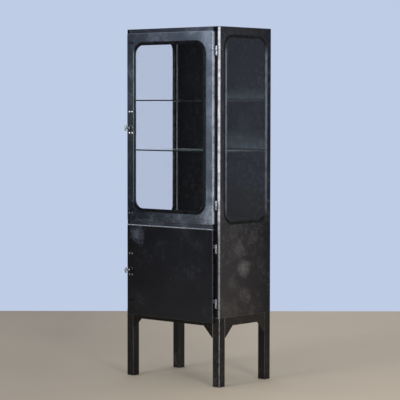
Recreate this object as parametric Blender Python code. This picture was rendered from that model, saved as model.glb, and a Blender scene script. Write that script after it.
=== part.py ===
"""Steel and glass medical cabinet on four square legs.

Units are metres, with +Z up, X to the right and Y to the back as one faces the doors.
The origin is on the floor, below the middle of the cabinet's bounding box.
"""
import math
from collections import namedtuple

import bmesh
import bpy

# Carcass of folded and welded steel sheet
WIDTH = 0.620
DEPTH = 0.390
HEIGHT = 1.750
SHEET = 0.0015
SEAT_GAP = 0.0003
FRONT_BEND = 0.008
BACK_BEND = 0.003
HINGE_STILE = 0.041
BACK_FLANGE = 0.015
SEAM_BELOW_DECK = 0.0398

# Square tube legs with plugged ends
LEG_SECTION = 0.044
LEG_WALL = 0.002
LEG_CORNER = 0.004
LEG_TOP = 0.337
FOOT_FLANGE = 0.003
FOOT_PLUG = 0.014

# Aprons between the legs, each cut with a sloping gusset at both ends
APRON_HEIGHT = 0.042
APRON_THICKNESS = 0.002
APRON_LIP = 0.012
GUSSET_RUN = 0.057
GUSSET_DROP = 0.055
GUSSET_FOOT = 0.003

# Rails across the front, and the deck between the two compartments
TOP_RAIL_HEIGHT = 0.042
MIDDLE_RAIL_HEIGHT = 0.059
DECK_HEIGHT = 0.8028
RAIL_FLANGE = 0.018
PANEL_LIP = 0.012
FLOOR_LIP = 0.014

# Pan doors that lie over the front of the carcass
DOOR_THICKNESS = 0.0125
DOOR_STANDOFF = 0.0006
DOOR_LOCK_MARGIN = 0.014
DOOR_HINGE_MARGIN = 0.033
UPPER_DOOR_TOP_MARGIN = 0.021
UPPER_DOOR_BELOW_DECK = 0.0128
LOWER_DOOR_OVER_RAIL = 0.028
LOWER_DOOR_BELOW_LEG_TOP = 0.025
DOOR_CORNER = 0.007
DOOR_FOLD = 0.003
DOOR_LIP = 0.008

# Rounded windows with a rubber glazing section
DOOR_WINDOW_SILL = 0.0465
SIDE_WINDOW_FRONT_MARGIN = 0.0335
SIDE_WINDOW_BACK_MARGIN = 0.0290
SIDE_WINDOW_TOP_MARGIN = 0.0347
SIDE_WINDOW_SILL = 0.026
WINDOW_RADIUS = 0.064
GASKET_DEPTH = 0.009
SHEET_GRIP = 0.0075
GASKET_WEB = 0.003
GLASS_GRIP = 0.007
GLASS_THICKNESS = 0.004

# Glass shelves on clips in notched strips
SHELF_THICKNESS = 0.006
SHELF_FRONT_GAP = 0.030
SHELF_BACK_GAP = 0.0012
SHELF_SIDE_GAP = 0.0027
STRIP_WIDTH = 0.014
STRIP_THICKNESS = 0.002
STRIP_BEND_GAP = 0.0015
NOTCH_SPACING = 0.050
NOTCH_START = 0.038
NOTCH_DEPTH = 0.003
NOTCH_HEIGHT = 0.006
LOWER_SHELF_NOTCH = 6
UPPER_SHELF_NOTCH = 11
CLIP_THICKNESS = 0.003
CLIP_WIDTH = 0.008
CLIP_REACH = 0.020

# Lift-off hinges, the pin fixed in the lower half
HINGE_INSET = 0.096
HINGE_HALF_HEIGHT = 0.0238
HINGE_RADIUS = 0.006
HINGE_PIN_RADIUS = 0.003
HINGE_PIN_LENGTH = 0.018
HINGE_PIN_CLEARANCE = 0.00035
HINGE_WASHER_GAP = 0.0005
HINGE_AXIS_INSET = 0.014
HINGE_AXIS_STANDOFF = 0.0075
HINGE_LEAF = 0.003
HINGE_LEAF_HEIGHT = 0.018
HINGE_PAD = 0.002
HINGE_FOOT_REACH = 0.012

# Rod lock on the inside of each door, worked by a knob through a pinion and two racks
LOCK_SETBACK = 0.026
UPPER_DOOR_GUIDE_FROM_TOP = 0.0465
UPPER_DOOR_GUIDE_FROM_BOTTOM = 0.0375
LOWER_DOOR_GUIDE_FROM_TOP = 0.079
LOWER_DOOR_GUIDE_FROM_BOTTOM = 0.077
CASE_TO_RUBBER = 0.002
CASE_TO_STILE = 0.0025
CASE_WALL = 0.0015
CASE_BASE = 0.0025
CASE_SCREW_ABOVE = 0.082
CASE_SCREW_BELOW = 0.0245
CASE_END_MARGIN = 0.009
SCREW_SPACING = 0.018
SCREW_SHANK_RADIUS = 0.0025
SCREW_HEAD_RADIUS = 0.0052
SCREW_HEAD_HEIGHT = 0.0034
SCREW_HOLE_CLEARANCE = 0.0004
ROD_WIDTH = 0.008
ROD_THICKNESS = 0.005
ROD_SETBACK = 0.0085
ROD_CLEARANCE = 0.0005
ROD_END_GAP = 0.0045
STRIKE_CLEARANCE = 0.0012
GUIDE_HEIGHT = 0.012
GUIDE_WALL = 0.0025
PINION_TEETH = 10
GEAR_MODULE = 0.0016
GEAR_BACKLASH = 0.0006
GEAR_ROOT_CLEARANCE = 0.0005
RACK_BACK = 0.0040
RACK_TO_CASE = 0.0003
RACK_ABOVE = 0.010
RACK_BELOW = 0.021
ROD_ARM_START = 0.014
SPINDLE_RADIUS = 0.0035
SPINDLE_CLEARANCE = 0.0004
KNOB_REACH = 0.045
KNOB_BOSS_RADIUS = 0.0065
KNOB_NECK_RADIUS = 0.0030
KNOB_SOCKET = 0.012
BOW_HEIGHT = 0.028
BOW_WIDTH = 0.015
BOW_RIM = 0.0045
BOW_THICKNESS = 0.0045
BOW_EDGE = 0.0012
ROSE_RADIUS = 0.016
ROSE_THICKNESS = 0.003

# How finely the round shapes are divided
WINDOW_STEPS = 6
BEND_STEPS = 3
ROUND_STEPS = 16
SMALL_ROUND_STEPS = 10

# Shape ratios that belong to a form and not to one size
STUB_ADDENDUM = 0.8
PRESSURE_ANGLE = math.radians(25.0)

# Planes worked out from the sizes above
OVERALL_DEPTH = DEPTH + DOOR_STANDOFF + DOOR_THICKNESS + KNOB_REACH
BACK_Y = OVERALL_DEPTH / 2
FRONT_Y = BACK_Y - DEPTH
DOOR_BACK_Y = FRONT_Y - DOOR_STANDOFF
DOOR_FRONT_Y = DOOR_BACK_Y - DOOR_THICKNESS
LEFT_X = -WIDTH / 2
RIGHT_X = WIDTH / 2
INNER_X = RIGHT_X - SHEET
PANEL_TOP = HEIGHT - SHEET - SEAT_GAP
BACK_PANEL_Y = BACK_Y - SHEET - SEAT_GAP - SHEET
DOOR_LEFT = LEFT_X + DOOR_LOCK_MARGIN
DOOR_RIGHT = RIGHT_X - DOOR_HINGE_MARGIN
UPPER_DOOR_TOP = HEIGHT - UPPER_DOOR_TOP_MARGIN
TOP_RAIL_BOTTOM = PANEL_TOP - TOP_RAIL_HEIGHT
HINGE_X = RIGHT_X - HINGE_AXIS_INSET
HINGE_Y = FRONT_Y - HINGE_AXIS_STANDOFF
LOCK_X = DOOR_LEFT + LOCK_SETBACK
ROD_Y = FRONT_Y + ROD_SETBACK
MIDDLE_RAIL_TOP = DECK_HEIGHT - SHEET - SEAT_GAP
MIDDLE_RAIL_BOTTOM = MIDDLE_RAIL_TOP - MIDDLE_RAIL_HEIGHT
UPPER_DOOR_BOTTOM = DECK_HEIGHT - UPPER_DOOR_BELOW_DECK
LOWER_DOOR_TOP = MIDDLE_RAIL_BOTTOM + LOWER_DOOR_OVER_RAIL
LOWER_DOOR_BOTTOM = LEG_TOP - LOWER_DOOR_BELOW_LEG_TOP
SIDE_SEAM_HEIGHT = DECK_HEIGHT - SEAM_BELOW_DECK
SIDE_WINDOW_BOTTOM = SIDE_SEAM_HEIGHT + SIDE_WINDOW_SILL
FLOOR_BOTTOM = LEG_TOP + SEAT_GAP
FLOOR_TOP = FLOOR_BOTTOM + SHEET
PITCH_RADIUS = GEAR_MODULE * PINION_TEETH / 2
GEAR_ADDENDUM = STUB_ADDENDUM * GEAR_MODULE
GEAR_DEDENDUM = GEAR_ADDENDUM + GEAR_ROOT_CLEARANCE
GEAR_PITCH = math.pi * GEAR_MODULE
CASE_WIDTH = 2 * (PITCH_RADIUS + GEAR_DEDENDUM + RACK_BACK + RACK_TO_CASE + CASE_WALL)
DOOR_WINDOW_BORDER = LOCK_SETBACK + CASE_WIDTH / 2 + CASE_TO_RUBBER
LOCK_STILE = DOOR_LOCK_MARGIN + LOCK_SETBACK - CASE_WIDTH / 2 - CASE_TO_STILE
HINGE_PAD_WIDTH = DOOR_THICKNESS - DOOR_FOLD

# Each door with the edges that its rods shoot past and the heights of its rod guides
Door = namedtuple("Door", "name bottom top low_strike high_strike low_guide high_guide")
UPPER_DOOR = Door(
    "upper_door",
    UPPER_DOOR_BOTTOM,
    UPPER_DOOR_TOP,
    DECK_HEIGHT,
    TOP_RAIL_BOTTOM,
    UPPER_DOOR_BOTTOM + UPPER_DOOR_GUIDE_FROM_BOTTOM,
    UPPER_DOOR_TOP - UPPER_DOOR_GUIDE_FROM_TOP,
)
LOWER_DOOR = Door(
    "lower_door",
    LOWER_DOOR_BOTTOM,
    LOWER_DOOR_TOP,
    FLOOR_TOP + FLOOR_LIP,
    MIDDLE_RAIL_BOTTOM,
    LOWER_DOOR_BOTTOM + LOWER_DOOR_GUIDE_FROM_BOTTOM,
    LOWER_DOOR_TOP - LOWER_DOOR_GUIDE_FROM_TOP,
)


def start_empty():
    """Removes every object, so that only the cabinet is in the scene."""
    for old in list(bpy.data.objects):
        bpy.data.objects.remove(old, do_unlink=True)


def make_material(name, colour, roughness, metallic, alpha=1.0):
    """A Principled material with the given linear colour."""
    made = bpy.data.materials.new(name)
    made.use_nodes = True
    shader = made.node_tree.nodes["Principled BSDF"]
    shader.inputs["Base Color"].default_value = (*colour, 1.0)
    shader.inputs["Roughness"].default_value = roughness
    shader.inputs["Metallic"].default_value = metallic
    shader.inputs["Alpha"].default_value = alpha
    made.diffuse_color = (*colour, alpha)
    return made


def pivot(name, place, parent=None):
    """An empty on a joint's axis, which carries the pieces that move about it."""
    empty = bpy.data.objects.new(name, None)
    bpy.context.scene.collection.objects.link(empty)
    empty.parent = parent
    empty.location = relative(place, parent)
    empty["world_place"] = place
    return empty


def relative(place, parent):
    """A world place as seen from a parent that is only moved, never turned."""
    if parent is None:
        return place
    base = parent["world_place"]
    return tuple(place[i] - base[i] for i in range(3))


def add_object(name, bm, material, parent=None):
    """Makes an object of a closed mesh, with its origin on its parent's axis."""
    bmesh.ops.recalc_face_normals(bm, faces=bm.faces)
    base = (0.0, 0.0, 0.0) if parent is None else tuple(parent["world_place"])
    bmesh.ops.translate(bm, verts=bm.verts, vec=tuple(-value for value in base))
    mesh = bpy.data.meshes.new(name)
    bm.to_mesh(mesh)
    bm.free()
    mesh.shade_smooth()
    mesh.set_sharp_from_angle(angle=math.radians(32.0))
    made = bpy.data.objects.new(name, mesh)
    bpy.context.scene.collection.objects.link(made)
    made.parent = parent
    made.data.materials.append(material)
    return made


def combine(target, tool, operation):
    """Cuts a hidden tool out of the target, or welds it on."""
    tool.hide_render = True
    tool.display_type = 'WIRE'
    modifier = target.modifiers.new(tool.name, 'BOOLEAN')
    modifier.operation = operation
    modifier.solver = 'EXACT'
    modifier.object = tool


def add_box(bm, low, high):
    """A cuboid between two corners."""
    made = bmesh.ops.create_cube(bm, size=1.0)["verts"]
    for vert in made:
        vert.co = [low[i] + (vert.co[i] + 0.5) * (high[i] - low[i]) for i in range(3)]


def join_loops(bm, loops, ring=False):
    """Skins a row of point loops into one closed body, as a ring or with an end face at both ends."""
    rows = [[bm.verts.new(point) for point in loop] for loop in loops]
    count = len(rows[0])
    pairs = list(zip(rows, rows[1:]))
    if ring:
        pairs.append((rows[-1], rows[0]))
    for first, second in pairs:
        for i in range(count):
            j = (i + 1) % count
            bm.faces.new((first[i], first[j], second[j], second[i]))
    if not ring:
        bm.faces.new(rows[0])
        bm.faces.new(rows[-1])


def rounded_rectangle(a0, a1, b0, b1, radius, steps):
    """Points round a rectangle with rounded corners, as pairs."""
    radius = min(radius, (a1 - a0) / 2, (b1 - b0) / 2)
    centres = (
        (a1 - radius, b1 - radius, 0.0),
        (a0 + radius, b1 - radius, 0.5),
        (a0 + radius, b0 + radius, 1.0),
        (a1 - radius, b0 + radius, 1.5),
    )
    points = []
    for a, b, turn in centres:
        for i in range(steps + 1):
            angle = math.pi * (turn + 0.5 * i / steps)
            points.append((a + radius * math.cos(angle), b + radius * math.sin(angle)))
    return points


def arc(centre, radius, start, end, steps):
    """Points along an arc, angles in quarter turns."""
    points = []
    for i in range(steps + 1):
        angle = math.pi / 2 * (start + (end - start) * i / steps)
        points.append((centre[0] + radius * math.cos(angle), centre[1] + radius * math.sin(angle)))
    return points


def along_x(points, x):
    return [(x, a, b) for a, b in points]


def along_y(points, y):
    return [(a, y, b) for a, b in points]


def along_z(points, z):
    return [(a, b, z) for a, b in points]


def extruded(points, place, start, end):
    """A prism of an outline between two planes."""
    bm = bmesh.new()
    join_loops(bm, [place(points, start), place(points, end)])
    return bm


def circle(radius, steps, centre=(0.0, 0.0)):
    turn = 2 * math.pi / steps
    return [
        (centre[0] + radius * math.cos(turn * i), centre[1] + radius * math.sin(turn * i))
        for i in range(steps)
    ]


def add_turned(bm, profile, place, centre, steps):
    """A turned body: the profile is a row of (radius, position along the axis)."""
    join_loops(bm, [place(circle(radius, steps, centre), position) for radius, position in profile])


def leg_places():
    """The four legs as name, outer x, outer y and the directions inwards."""
    return (
        ("front_left", LEFT_X, FRONT_Y, 1, 1),
        ("front_right", RIGHT_X, FRONT_Y, -1, 1),
        ("back_left", LEFT_X, BACK_Y, 1, -1),
        ("back_right", RIGHT_X, BACK_Y, -1, -1),
    )


def square(x, y, inward_x, inward_y, inset, side, corner, steps):
    """A rounded square of a leg's section, inset from the leg's outer faces."""
    xs = sorted((x + inward_x * inset, x + inward_x * (inset + side)))
    ys = sorted((y + inward_y * inset, y + inward_y * (inset + side)))
    return rounded_rectangle(xs[0], xs[1], ys[0], ys[1], corner, steps)


def build_legs(steel, rubber):
    for name, x, y, dx, dy in leg_places():
        bore = LEG_SECTION - 2 * LEG_WALL
        outer = square(x, y, dx, dy, 0.0, LEG_SECTION, LEG_CORNER, BEND_STEPS)
        inner = square(x, y, dx, dy, LEG_WALL, bore, LEG_CORNER - LEG_WALL, BEND_STEPS)
        bottom = FOOT_FLANGE + SEAT_GAP
        bm = bmesh.new()
        loops = [along_z(outer, bottom), along_z(outer, LEG_TOP), along_z(inner, LEG_TOP), along_z(inner, bottom)]
        join_loops(bm, loops, ring=True)
        add_object("leg_" + name, bm, steel)

        plug_inset = LEG_WALL + SEAT_GAP
        plug = square(x, y, dx, dy, plug_inset, LEG_SECTION - 2 * plug_inset, LEG_CORNER - LEG_WALL, BEND_STEPS)
        bm = bmesh.new()
        loops = [
            along_z(outer, 0.0),
            along_z(outer, FOOT_FLANGE),
            along_z(plug, FOOT_FLANGE),
            along_z(plug, FOOT_FLANGE + FOOT_PLUG),
        ]
        join_loops(bm, loops)
        add_object("foot_" + name, bm, rubber)


def apron_outline(start, end):
    """An apron seen square on, with a gusset sloping down the leg at each end."""
    top = LEG_TOP
    edge = top - APRON_HEIGHT
    tip = edge - GUSSET_DROP
    return [
        (start, top),
        (start, tip),
        (start + GUSSET_FOOT, tip),
        (start + GUSSET_RUN, edge),
        (end - GUSSET_RUN, edge),
        (end - GUSSET_FOOT, tip),
        (end, tip),
        (end, top),
    ]


def build_aprons(steel):
    edge = LEG_TOP - APRON_HEIGHT
    start_x = LEFT_X + LEG_SECTION + SEAT_GAP
    start_y = FRONT_Y + LEG_SECTION + SEAT_GAP
    end_y = BACK_Y - LEG_SECTION - SEAT_GAP
    for name, face, inward in (("front", FRONT_Y, 1), ("back", BACK_Y, -1)):
        web = extruded(apron_outline(start_x, -start_x), along_y, face, face + inward * APRON_THICKNESS)
        apron = add_object("apron_" + name, web, steel)
        lip = bmesh.new()
        ys = sorted((face + inward * APRON_THICKNESS / 2, face + inward * APRON_LIP))
        span = -start_x - GUSSET_RUN
        add_box(lip, (-span, ys[0], edge), (span, ys[1], edge + APRON_THICKNESS))
        combine(apron, add_object("weld_apron_" + name, lip, steel), 'UNION')
    for name, face, inward in (("left", LEFT_X, 1), ("right", RIGHT_X, -1)):
        web = extruded(apron_outline(start_y, end_y), along_x, face, face + inward * APRON_THICKNESS)
        apron = add_object("apron_" + name, web, steel)
        lip = bmesh.new()
        xs = sorted((face + inward * APRON_THICKNESS / 2, face + inward * APRON_LIP))
        low = (xs[0], start_y + GUSSET_RUN, edge)
        high = (xs[1], end_y - GUSSET_RUN, edge + APRON_THICKNESS)
        add_box(lip, low, high)
        combine(apron, add_object("weld_apron_" + name, lip, steel), 'UNION')


def side_outline(sign, stile):
    """A side panel in plan: wall, front stile and back flange, folded from one sheet."""
    x = RIGHT_X
    front_centre = (x - FRONT_BEND, FRONT_Y + FRONT_BEND)
    back_centre = (x - BACK_BEND, BACK_Y - BACK_BEND)
    outside = [(x - stile, FRONT_Y)]
    outside += arc(front_centre, FRONT_BEND, -1, 0, BEND_STEPS)
    outside += arc(back_centre, BACK_BEND, 0, 1, BEND_STEPS)
    outside += [(x - BACK_FLANGE, BACK_Y)]
    inside = [(x - BACK_FLANGE, BACK_Y - SHEET)]
    inside += arc(back_centre, BACK_BEND - SHEET, 1, 0, BEND_STEPS)
    inside += arc(front_centre, FRONT_BEND - SHEET, 0, -1, BEND_STEPS)
    inside += [(x - stile, FRONT_Y + SHEET)]
    return [(sign * a, b) for a, b in outside + inside]


def side_window(inset):
    """The side window's rounded outline in the YZ plane, inset from the rubber's outer edge."""
    return rounded_rectangle(
        FRONT_Y + SIDE_WINDOW_FRONT_MARGIN + inset,
        BACK_Y - SIDE_WINDOW_BACK_MARGIN - inset,
        SIDE_WINDOW_BOTTOM + inset,
        HEIGHT - SIDE_WINDOW_TOP_MARGIN - inset,
        WINDOW_RADIUS - inset,
        WINDOW_STEPS,
    )


def door_window(inset):
    """The door window's rounded outline in the XZ plane, inset from the rubber's outer edge."""
    return rounded_rectangle(
        DOOR_LEFT + DOOR_WINDOW_BORDER + inset,
        DOOR_RIGHT - DOOR_WINDOW_BORDER - inset,
        UPPER_DOOR_BOTTOM + DOOR_WINDOW_SILL + inset,
        UPPER_DOOR_TOP - DOOR_WINDOW_BORDER - inset,
        WINDOW_RADIUS - inset,
        WINDOW_STEPS,
    )


def build_sides(steel):
    seam = SIDE_SEAM_HEIGHT
    for name, sign, stile in (("left", -1, LOCK_STILE), ("right", 1, HINGE_STILE)):
        outline = side_outline(sign, stile)
        lower = extruded(outline, along_z, LEG_TOP + SEAT_GAP, seam - SEAT_GAP / 2)
        add_object(name + "_side_lower", lower, steel)
        upper = extruded(outline, along_z, seam + SEAT_GAP / 2, PANEL_TOP)
        panel = add_object(name + "_side_upper", upper, steel)
        xs = sorted((sign * (INNER_X - SHEET), sign * (RIGHT_X + SHEET)))
        cutter = extruded(side_window(SHEET_GRIP - SEAT_GAP), along_x, xs[0], xs[1])
        combine(panel, add_object("cut_window_" + name, cutter, steel), 'DIFFERENCE')


def gasket_profile():
    """The rubber's section as (inset from its outer edge, offset from the sheet's middle)."""
    width = SHEET_GRIP + GASKET_WEB + GLASS_GRIP
    crest = GASKET_DEPTH / 2
    sheet_slot = SHEET / 2 + SEAT_GAP
    glass_slot = GLASS_THICKNESS / 2 + SEAT_GAP
    flank = [
        (0.0, sheet_slot),
        (width * 0.12, crest * 0.84),
        (width * 0.45, crest),
        (width * 0.85, crest * 0.86),
        (width, glass_slot),
    ]
    web = (SHEET_GRIP + GASKET_WEB, glass_slot)
    mirrored = [(inset, -offset) for inset, offset in reversed(flank)]
    closing = [(SHEET_GRIP, -sheet_slot), (SHEET_GRIP, sheet_slot)]
    return flank + [web, (web[0], -web[1])] + mirrored + closing


def build_window(name, outline, place, middle, rubber, glass, parent=None):
    """The rubber ring and the pane of one window."""
    bm = bmesh.new()
    join_loops(bm, [place(outline(inset), middle + offset) for inset, offset in gasket_profile()], ring=True)
    add_object(name + "_gasket", bm, rubber, parent)
    pane = outline(SHEET_GRIP + GASKET_WEB + SEAT_GAP)
    half = GLASS_THICKNESS / 2
    add_object(name + "_glass", extruded(pane, place, middle - half, middle + half), glass, parent)


def gasket_inner_face():
    """How far from the middle the side windows' rubber stands on the inside."""
    return RIGHT_X - SHEET / 2 - GASKET_DEPTH / 2


def plan_panel(corner_front, corner_back, beside_windows):
    """The plan of a level panel inside the folded sides, set in where a window's rubber passes."""
    half = INNER_X - SEAT_GAP
    front = FRONT_Y + SHEET + SEAT_GAP
    back = BACK_PANEL_Y - SEAT_GAP
    points = arc((half - corner_front, front + corner_front), corner_front, -1, 0, BEND_STEPS)
    if beside_windows:
        inset = gasket_inner_face() - SEAT_GAP
        start = FRONT_Y + SIDE_WINDOW_FRONT_MARGIN
        end = BACK_Y - SIDE_WINDOW_BACK_MARGIN
        points += [(half, start), (inset, start), (inset, end), (half, end)]
    points += arc((half - corner_back, back - corner_back), corner_back, 0, 1, BEND_STEPS)
    return points + [(-a, b) for a, b in reversed(points)]


def rod_hole(name, low, high, steel):
    """A cutter for the hole that a lock rod shoots into."""
    bm = bmesh.new()
    half_x = ROD_WIDTH / 2 + STRIKE_CLEARANCE
    half_y = ROD_THICKNESS / 2 + STRIKE_CLEARANCE
    add_box(bm, (LOCK_X - half_x, ROD_Y - half_y, low), (LOCK_X + half_x, ROD_Y + half_y, high))
    return add_object(name, bm, steel)


def build_level_panels(steel):
    front_corner = FRONT_BEND - SHEET - SEAT_GAP
    back_corner = (BACK_BEND - SHEET) / 2
    deck = extruded(plan_panel(front_corner, back_corner, True), along_z, DECK_HEIGHT - SHEET, DECK_HEIGHT)
    deck = add_object("middle_deck", deck, steel)
    hole = rod_hole("cut_middle_deck", DECK_HEIGHT - 2 * SHEET, DECK_HEIGHT + SHEET, steel)
    combine(deck, hole, 'DIFFERENCE')
    lips = bmesh.new()
    edge = gasket_inner_face() - SEAT_GAP
    lip_front = FRONT_Y + SIDE_WINDOW_FRONT_MARGIN
    lip_back = BACK_Y - SIDE_WINDOW_BACK_MARGIN
    for sign in (-1, 1):
        xs = sorted((sign * edge, sign * (edge - SHEET)))
        low = (xs[0], lip_front, DECK_HEIGHT - PANEL_LIP)
        add_box(lips, low, (xs[1], lip_back, DECK_HEIGHT - SHEET / 2))
    combine(deck, add_object("weld_middle_deck", lips, steel), 'UNION')

    # The cupboard's floor turns up at the front, and the lower rod shoots behind that lip
    floor = extruded(plan_panel(front_corner, back_corner, False), along_z, FLOOR_BOTTOM, FLOOR_TOP)
    floor = add_object("bottom_panel", floor, steel)
    lip = bmesh.new()
    span = INNER_X - SEAT_GAP - front_corner
    front = FRONT_Y + SHEET + SEAT_GAP
    low = (-span, front, FLOOR_TOP - SHEET / 2)
    add_box(lip, low, (span, front + SHEET, FLOOR_TOP + FLOOR_LIP))
    combine(floor, add_object("weld_bottom_panel", lip, steel), 'UNION')

    bend_front = FRONT_BEND
    points = arc((RIGHT_X - bend_front, FRONT_Y + bend_front), bend_front, -1, 0, BEND_STEPS)
    points += arc((RIGHT_X - BACK_BEND, BACK_Y - BACK_BEND), BACK_BEND, 0, 1, BEND_STEPS)
    plan = points + [(-a, b) for a, b in reversed(points)]
    add_object("top_panel", extruded(plan, along_z, HEIGHT - SHEET, HEIGHT), steel)

    half = RIGHT_X - BACK_BEND - SEAT_GAP
    bm = bmesh.new()
    add_box(bm, (-half, BACK_PANEL_Y, FLOOR_BOTTOM), (half, BACK_PANEL_Y + SHEET, PANEL_TOP))
    add_object("back_panel", bm, steel)


def rail_outline(bottom, top):
    """A channel rail in section, its web forward."""
    front = FRONT_Y
    back = FRONT_Y + RAIL_FLANGE
    return [
        (front, bottom),
        (back, bottom),
        (back, bottom + SHEET),
        (front + SHEET, bottom + SHEET),
        (front + SHEET, top - SHEET),
        (back, top - SHEET),
        (back, top),
        (front, top),
    ]


def build_rails(steel):
    start = LEFT_X + LOCK_STILE + SEAT_GAP
    end = RIGHT_X - HINGE_STILE - SEAT_GAP
    low = TOP_RAIL_BOTTOM
    rail = add_object("top_rail", extruded(rail_outline(low, PANEL_TOP), along_x, start, end), steel)
    combine(rail, rod_hole("cut_top_rail", low - SHEET, low + 2 * SHEET, steel), 'DIFFERENCE')
    outline = rail_outline(MIDDLE_RAIL_BOTTOM, MIDDLE_RAIL_TOP)
    rail = add_object("middle_rail", extruded(outline, along_x, start, end), steel)
    hole = rod_hole("cut_middle_rail", MIDDLE_RAIL_BOTTOM - SHEET, MIDDLE_RAIL_TOP + SHEET, steel)
    combine(rail, hole, 'DIFFERENCE')


def notched_strip(edge, notched, low, high):
    """A shelf strip seen from the side: a bar with a row of notches down one edge."""
    toward = 1 if notched > edge else -1
    points = [(edge, high), (edge, low), (notched, low)]
    step = low + NOTCH_START
    while step + NOTCH_HEIGHT < high - NOTCH_HEIGHT:
        points += [
            (notched, step),
            (notched - toward * NOTCH_DEPTH, step),
            (notched - toward * NOTCH_DEPTH, step + NOTCH_HEIGHT),
            (notched, step + NOTCH_HEIGHT),
        ]
        step += NOTCH_SPACING
    points.append((notched, high))
    return points


def shelf_underside(notch):
    return DECK_HEIGHT + SEAT_GAP + NOTCH_START + notch * NOTCH_SPACING


def build_shelves(steel, glass):
    gasket_inner = gasket_inner_face()
    shelf_edge = gasket_inner - SHELF_SIDE_GAP
    shelf_front = FRONT_Y + SHELF_FRONT_GAP
    back_strip_edge = BACK_PANEL_Y - SEAT_GAP - (BACK_BEND - SHEET)
    shelf_back = back_strip_edge - STRIP_WIDTH - SHELF_BACK_GAP
    strip_low = DECK_HEIGHT + SEAT_GAP
    front_edge = FRONT_Y + FRONT_BEND + STRIP_BEND_GAP
    corners = (
        ("front", front_edge, front_edge + STRIP_WIDTH, shelf_front, 1),
        ("back", back_strip_edge, back_strip_edge - STRIP_WIDTH, shelf_back, -1),
    )
    for depth_name, edge, notched, shelf_end, toward in corners:
        for side_name, sign in (("left", -1), ("right", 1)):
            wall = INNER_X - SEAT_GAP
            face = wall - STRIP_THICKNESS
            outline = notched_strip(edge, notched, strip_low, PANEL_TOP)
            name = "shelf_strip_" + depth_name + "_" + side_name
            strip = add_object(name, extruded(outline, along_x, sign * face, sign * wall), steel)
            clips = bmesh.new()
            tongue = gasket_inner - SEAT_GAP
            root = notched - toward * NOTCH_DEPTH
            reach = shelf_end + toward * CLIP_REACH
            plan = [
                (face + STRIP_THICKNESS / 2, edge + toward * SHEET),
                (face + STRIP_THICKNESS / 2, root),
                (tongue, root),
                (tongue, reach),
                (tongue - CLIP_WIDTH, reach),
                (tongue - CLIP_WIDTH, edge + toward * SHEET),
            ]
            for notch in (LOWER_SHELF_NOTCH, UPPER_SHELF_NOTCH):
                top = shelf_underside(notch) - SEAT_GAP
                points = [(sign * a, b) for a, b in plan]
                join_loops(clips, [along_z(points, top - CLIP_THICKNESS), along_z(points, top)])
            combine(strip, add_object("weld_" + name, clips, steel), 'UNION')
    for name, notch in (("lower_shelf", LOWER_SHELF_NOTCH), ("upper_shelf", UPPER_SHELF_NOTCH)):
        bm = bmesh.new()
        low = shelf_underside(notch)
        add_box(bm, (-shelf_edge, shelf_front, low), (shelf_edge, shelf_back, low + SHELF_THICKNESS))
        add_object(name, bm, glass)


def pan_loop(bottom, top, inset, y):
    """One loop round a pan door, inset from its outer edge."""
    outline = rounded_rectangle(
        DOOR_LEFT + inset,
        DOOR_RIGHT - inset,
        bottom + inset,
        top - inset,
        max(DOOR_CORNER - inset, SHEET),
        WINDOW_STEPS,
    )
    return along_y(outline, y)


def pan_loops(bottom, top):
    """The folded skin of a pan door, from the front face round the edge and back inside."""
    fold = DOOR_FOLD
    inner_fold = fold - SHEET
    bevel = 1 - math.sqrt(0.5)
    return [
        pan_loop(bottom, top, fold, DOOR_FRONT_Y),
        pan_loop(bottom, top, fold * bevel, DOOR_FRONT_Y + fold * bevel),
        pan_loop(bottom, top, 0.0, DOOR_FRONT_Y + fold),
        pan_loop(bottom, top, 0.0, DOOR_BACK_Y),
        pan_loop(bottom, top, DOOR_LIP, DOOR_BACK_Y),
        pan_loop(bottom, top, DOOR_LIP, DOOR_BACK_Y - SHEET),
        pan_loop(bottom, top, SHEET, DOOR_BACK_Y - SHEET),
        pan_loop(bottom, top, SHEET, DOOR_FRONT_Y + fold),
        pan_loop(bottom, top, SHEET + inner_fold * bevel, DOOR_FRONT_Y + SHEET + inner_fold * bevel),
        pan_loop(bottom, top, fold, DOOR_FRONT_Y + SHEET),
    ]


def lock_height(door):
    """The lock's axis lies midway between the two rod guides."""
    return (door.high_guide + door.low_guide) / 2


def lock_holes(door):
    """Cutters for the holes of the spindle and of the screws in a door."""
    bm = bmesh.new()
    axis = lock_height(door)
    rows = (axis + CASE_SCREW_ABOVE, axis - CASE_SCREW_BELOW, door.high_guide, door.low_guide)
    radius = SCREW_SHANK_RADIUS + SCREW_HOLE_CLEARANCE
    ends = (DOOR_FRONT_Y - SHEET, DOOR_FRONT_Y + 2 * SHEET)
    for z in rows:
        for side in (-SCREW_SPACING / 2, SCREW_SPACING / 2):
            add_turned(bm, [(radius, y) for y in ends], along_y, (LOCK_X + side, z), SMALL_ROUND_STEPS)
    radius = SPINDLE_RADIUS + SPINDLE_CLEARANCE
    add_turned(bm, [(radius, y) for y in ends], along_y, (LOCK_X, axis), ROUND_STEPS)
    return bm


def build_door(door, steel, windowed, parent):
    bm = bmesh.new()
    loops = pan_loops(door.bottom, door.top)
    if windowed:
        hole = door_window(SHEET_GRIP - SEAT_GAP)
        loops.insert(0, along_y(hole, DOOR_FRONT_Y))
        loops.append(along_y(hole, DOOR_FRONT_Y + SHEET))
    join_loops(bm, loops, ring=windowed)
    panel = add_object(door.name + "_panel", bm, steel, parent)
    combine(panel, add_object("cut_" + door.name, lock_holes(door), steel, parent), 'DIFFERENCE')


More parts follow.
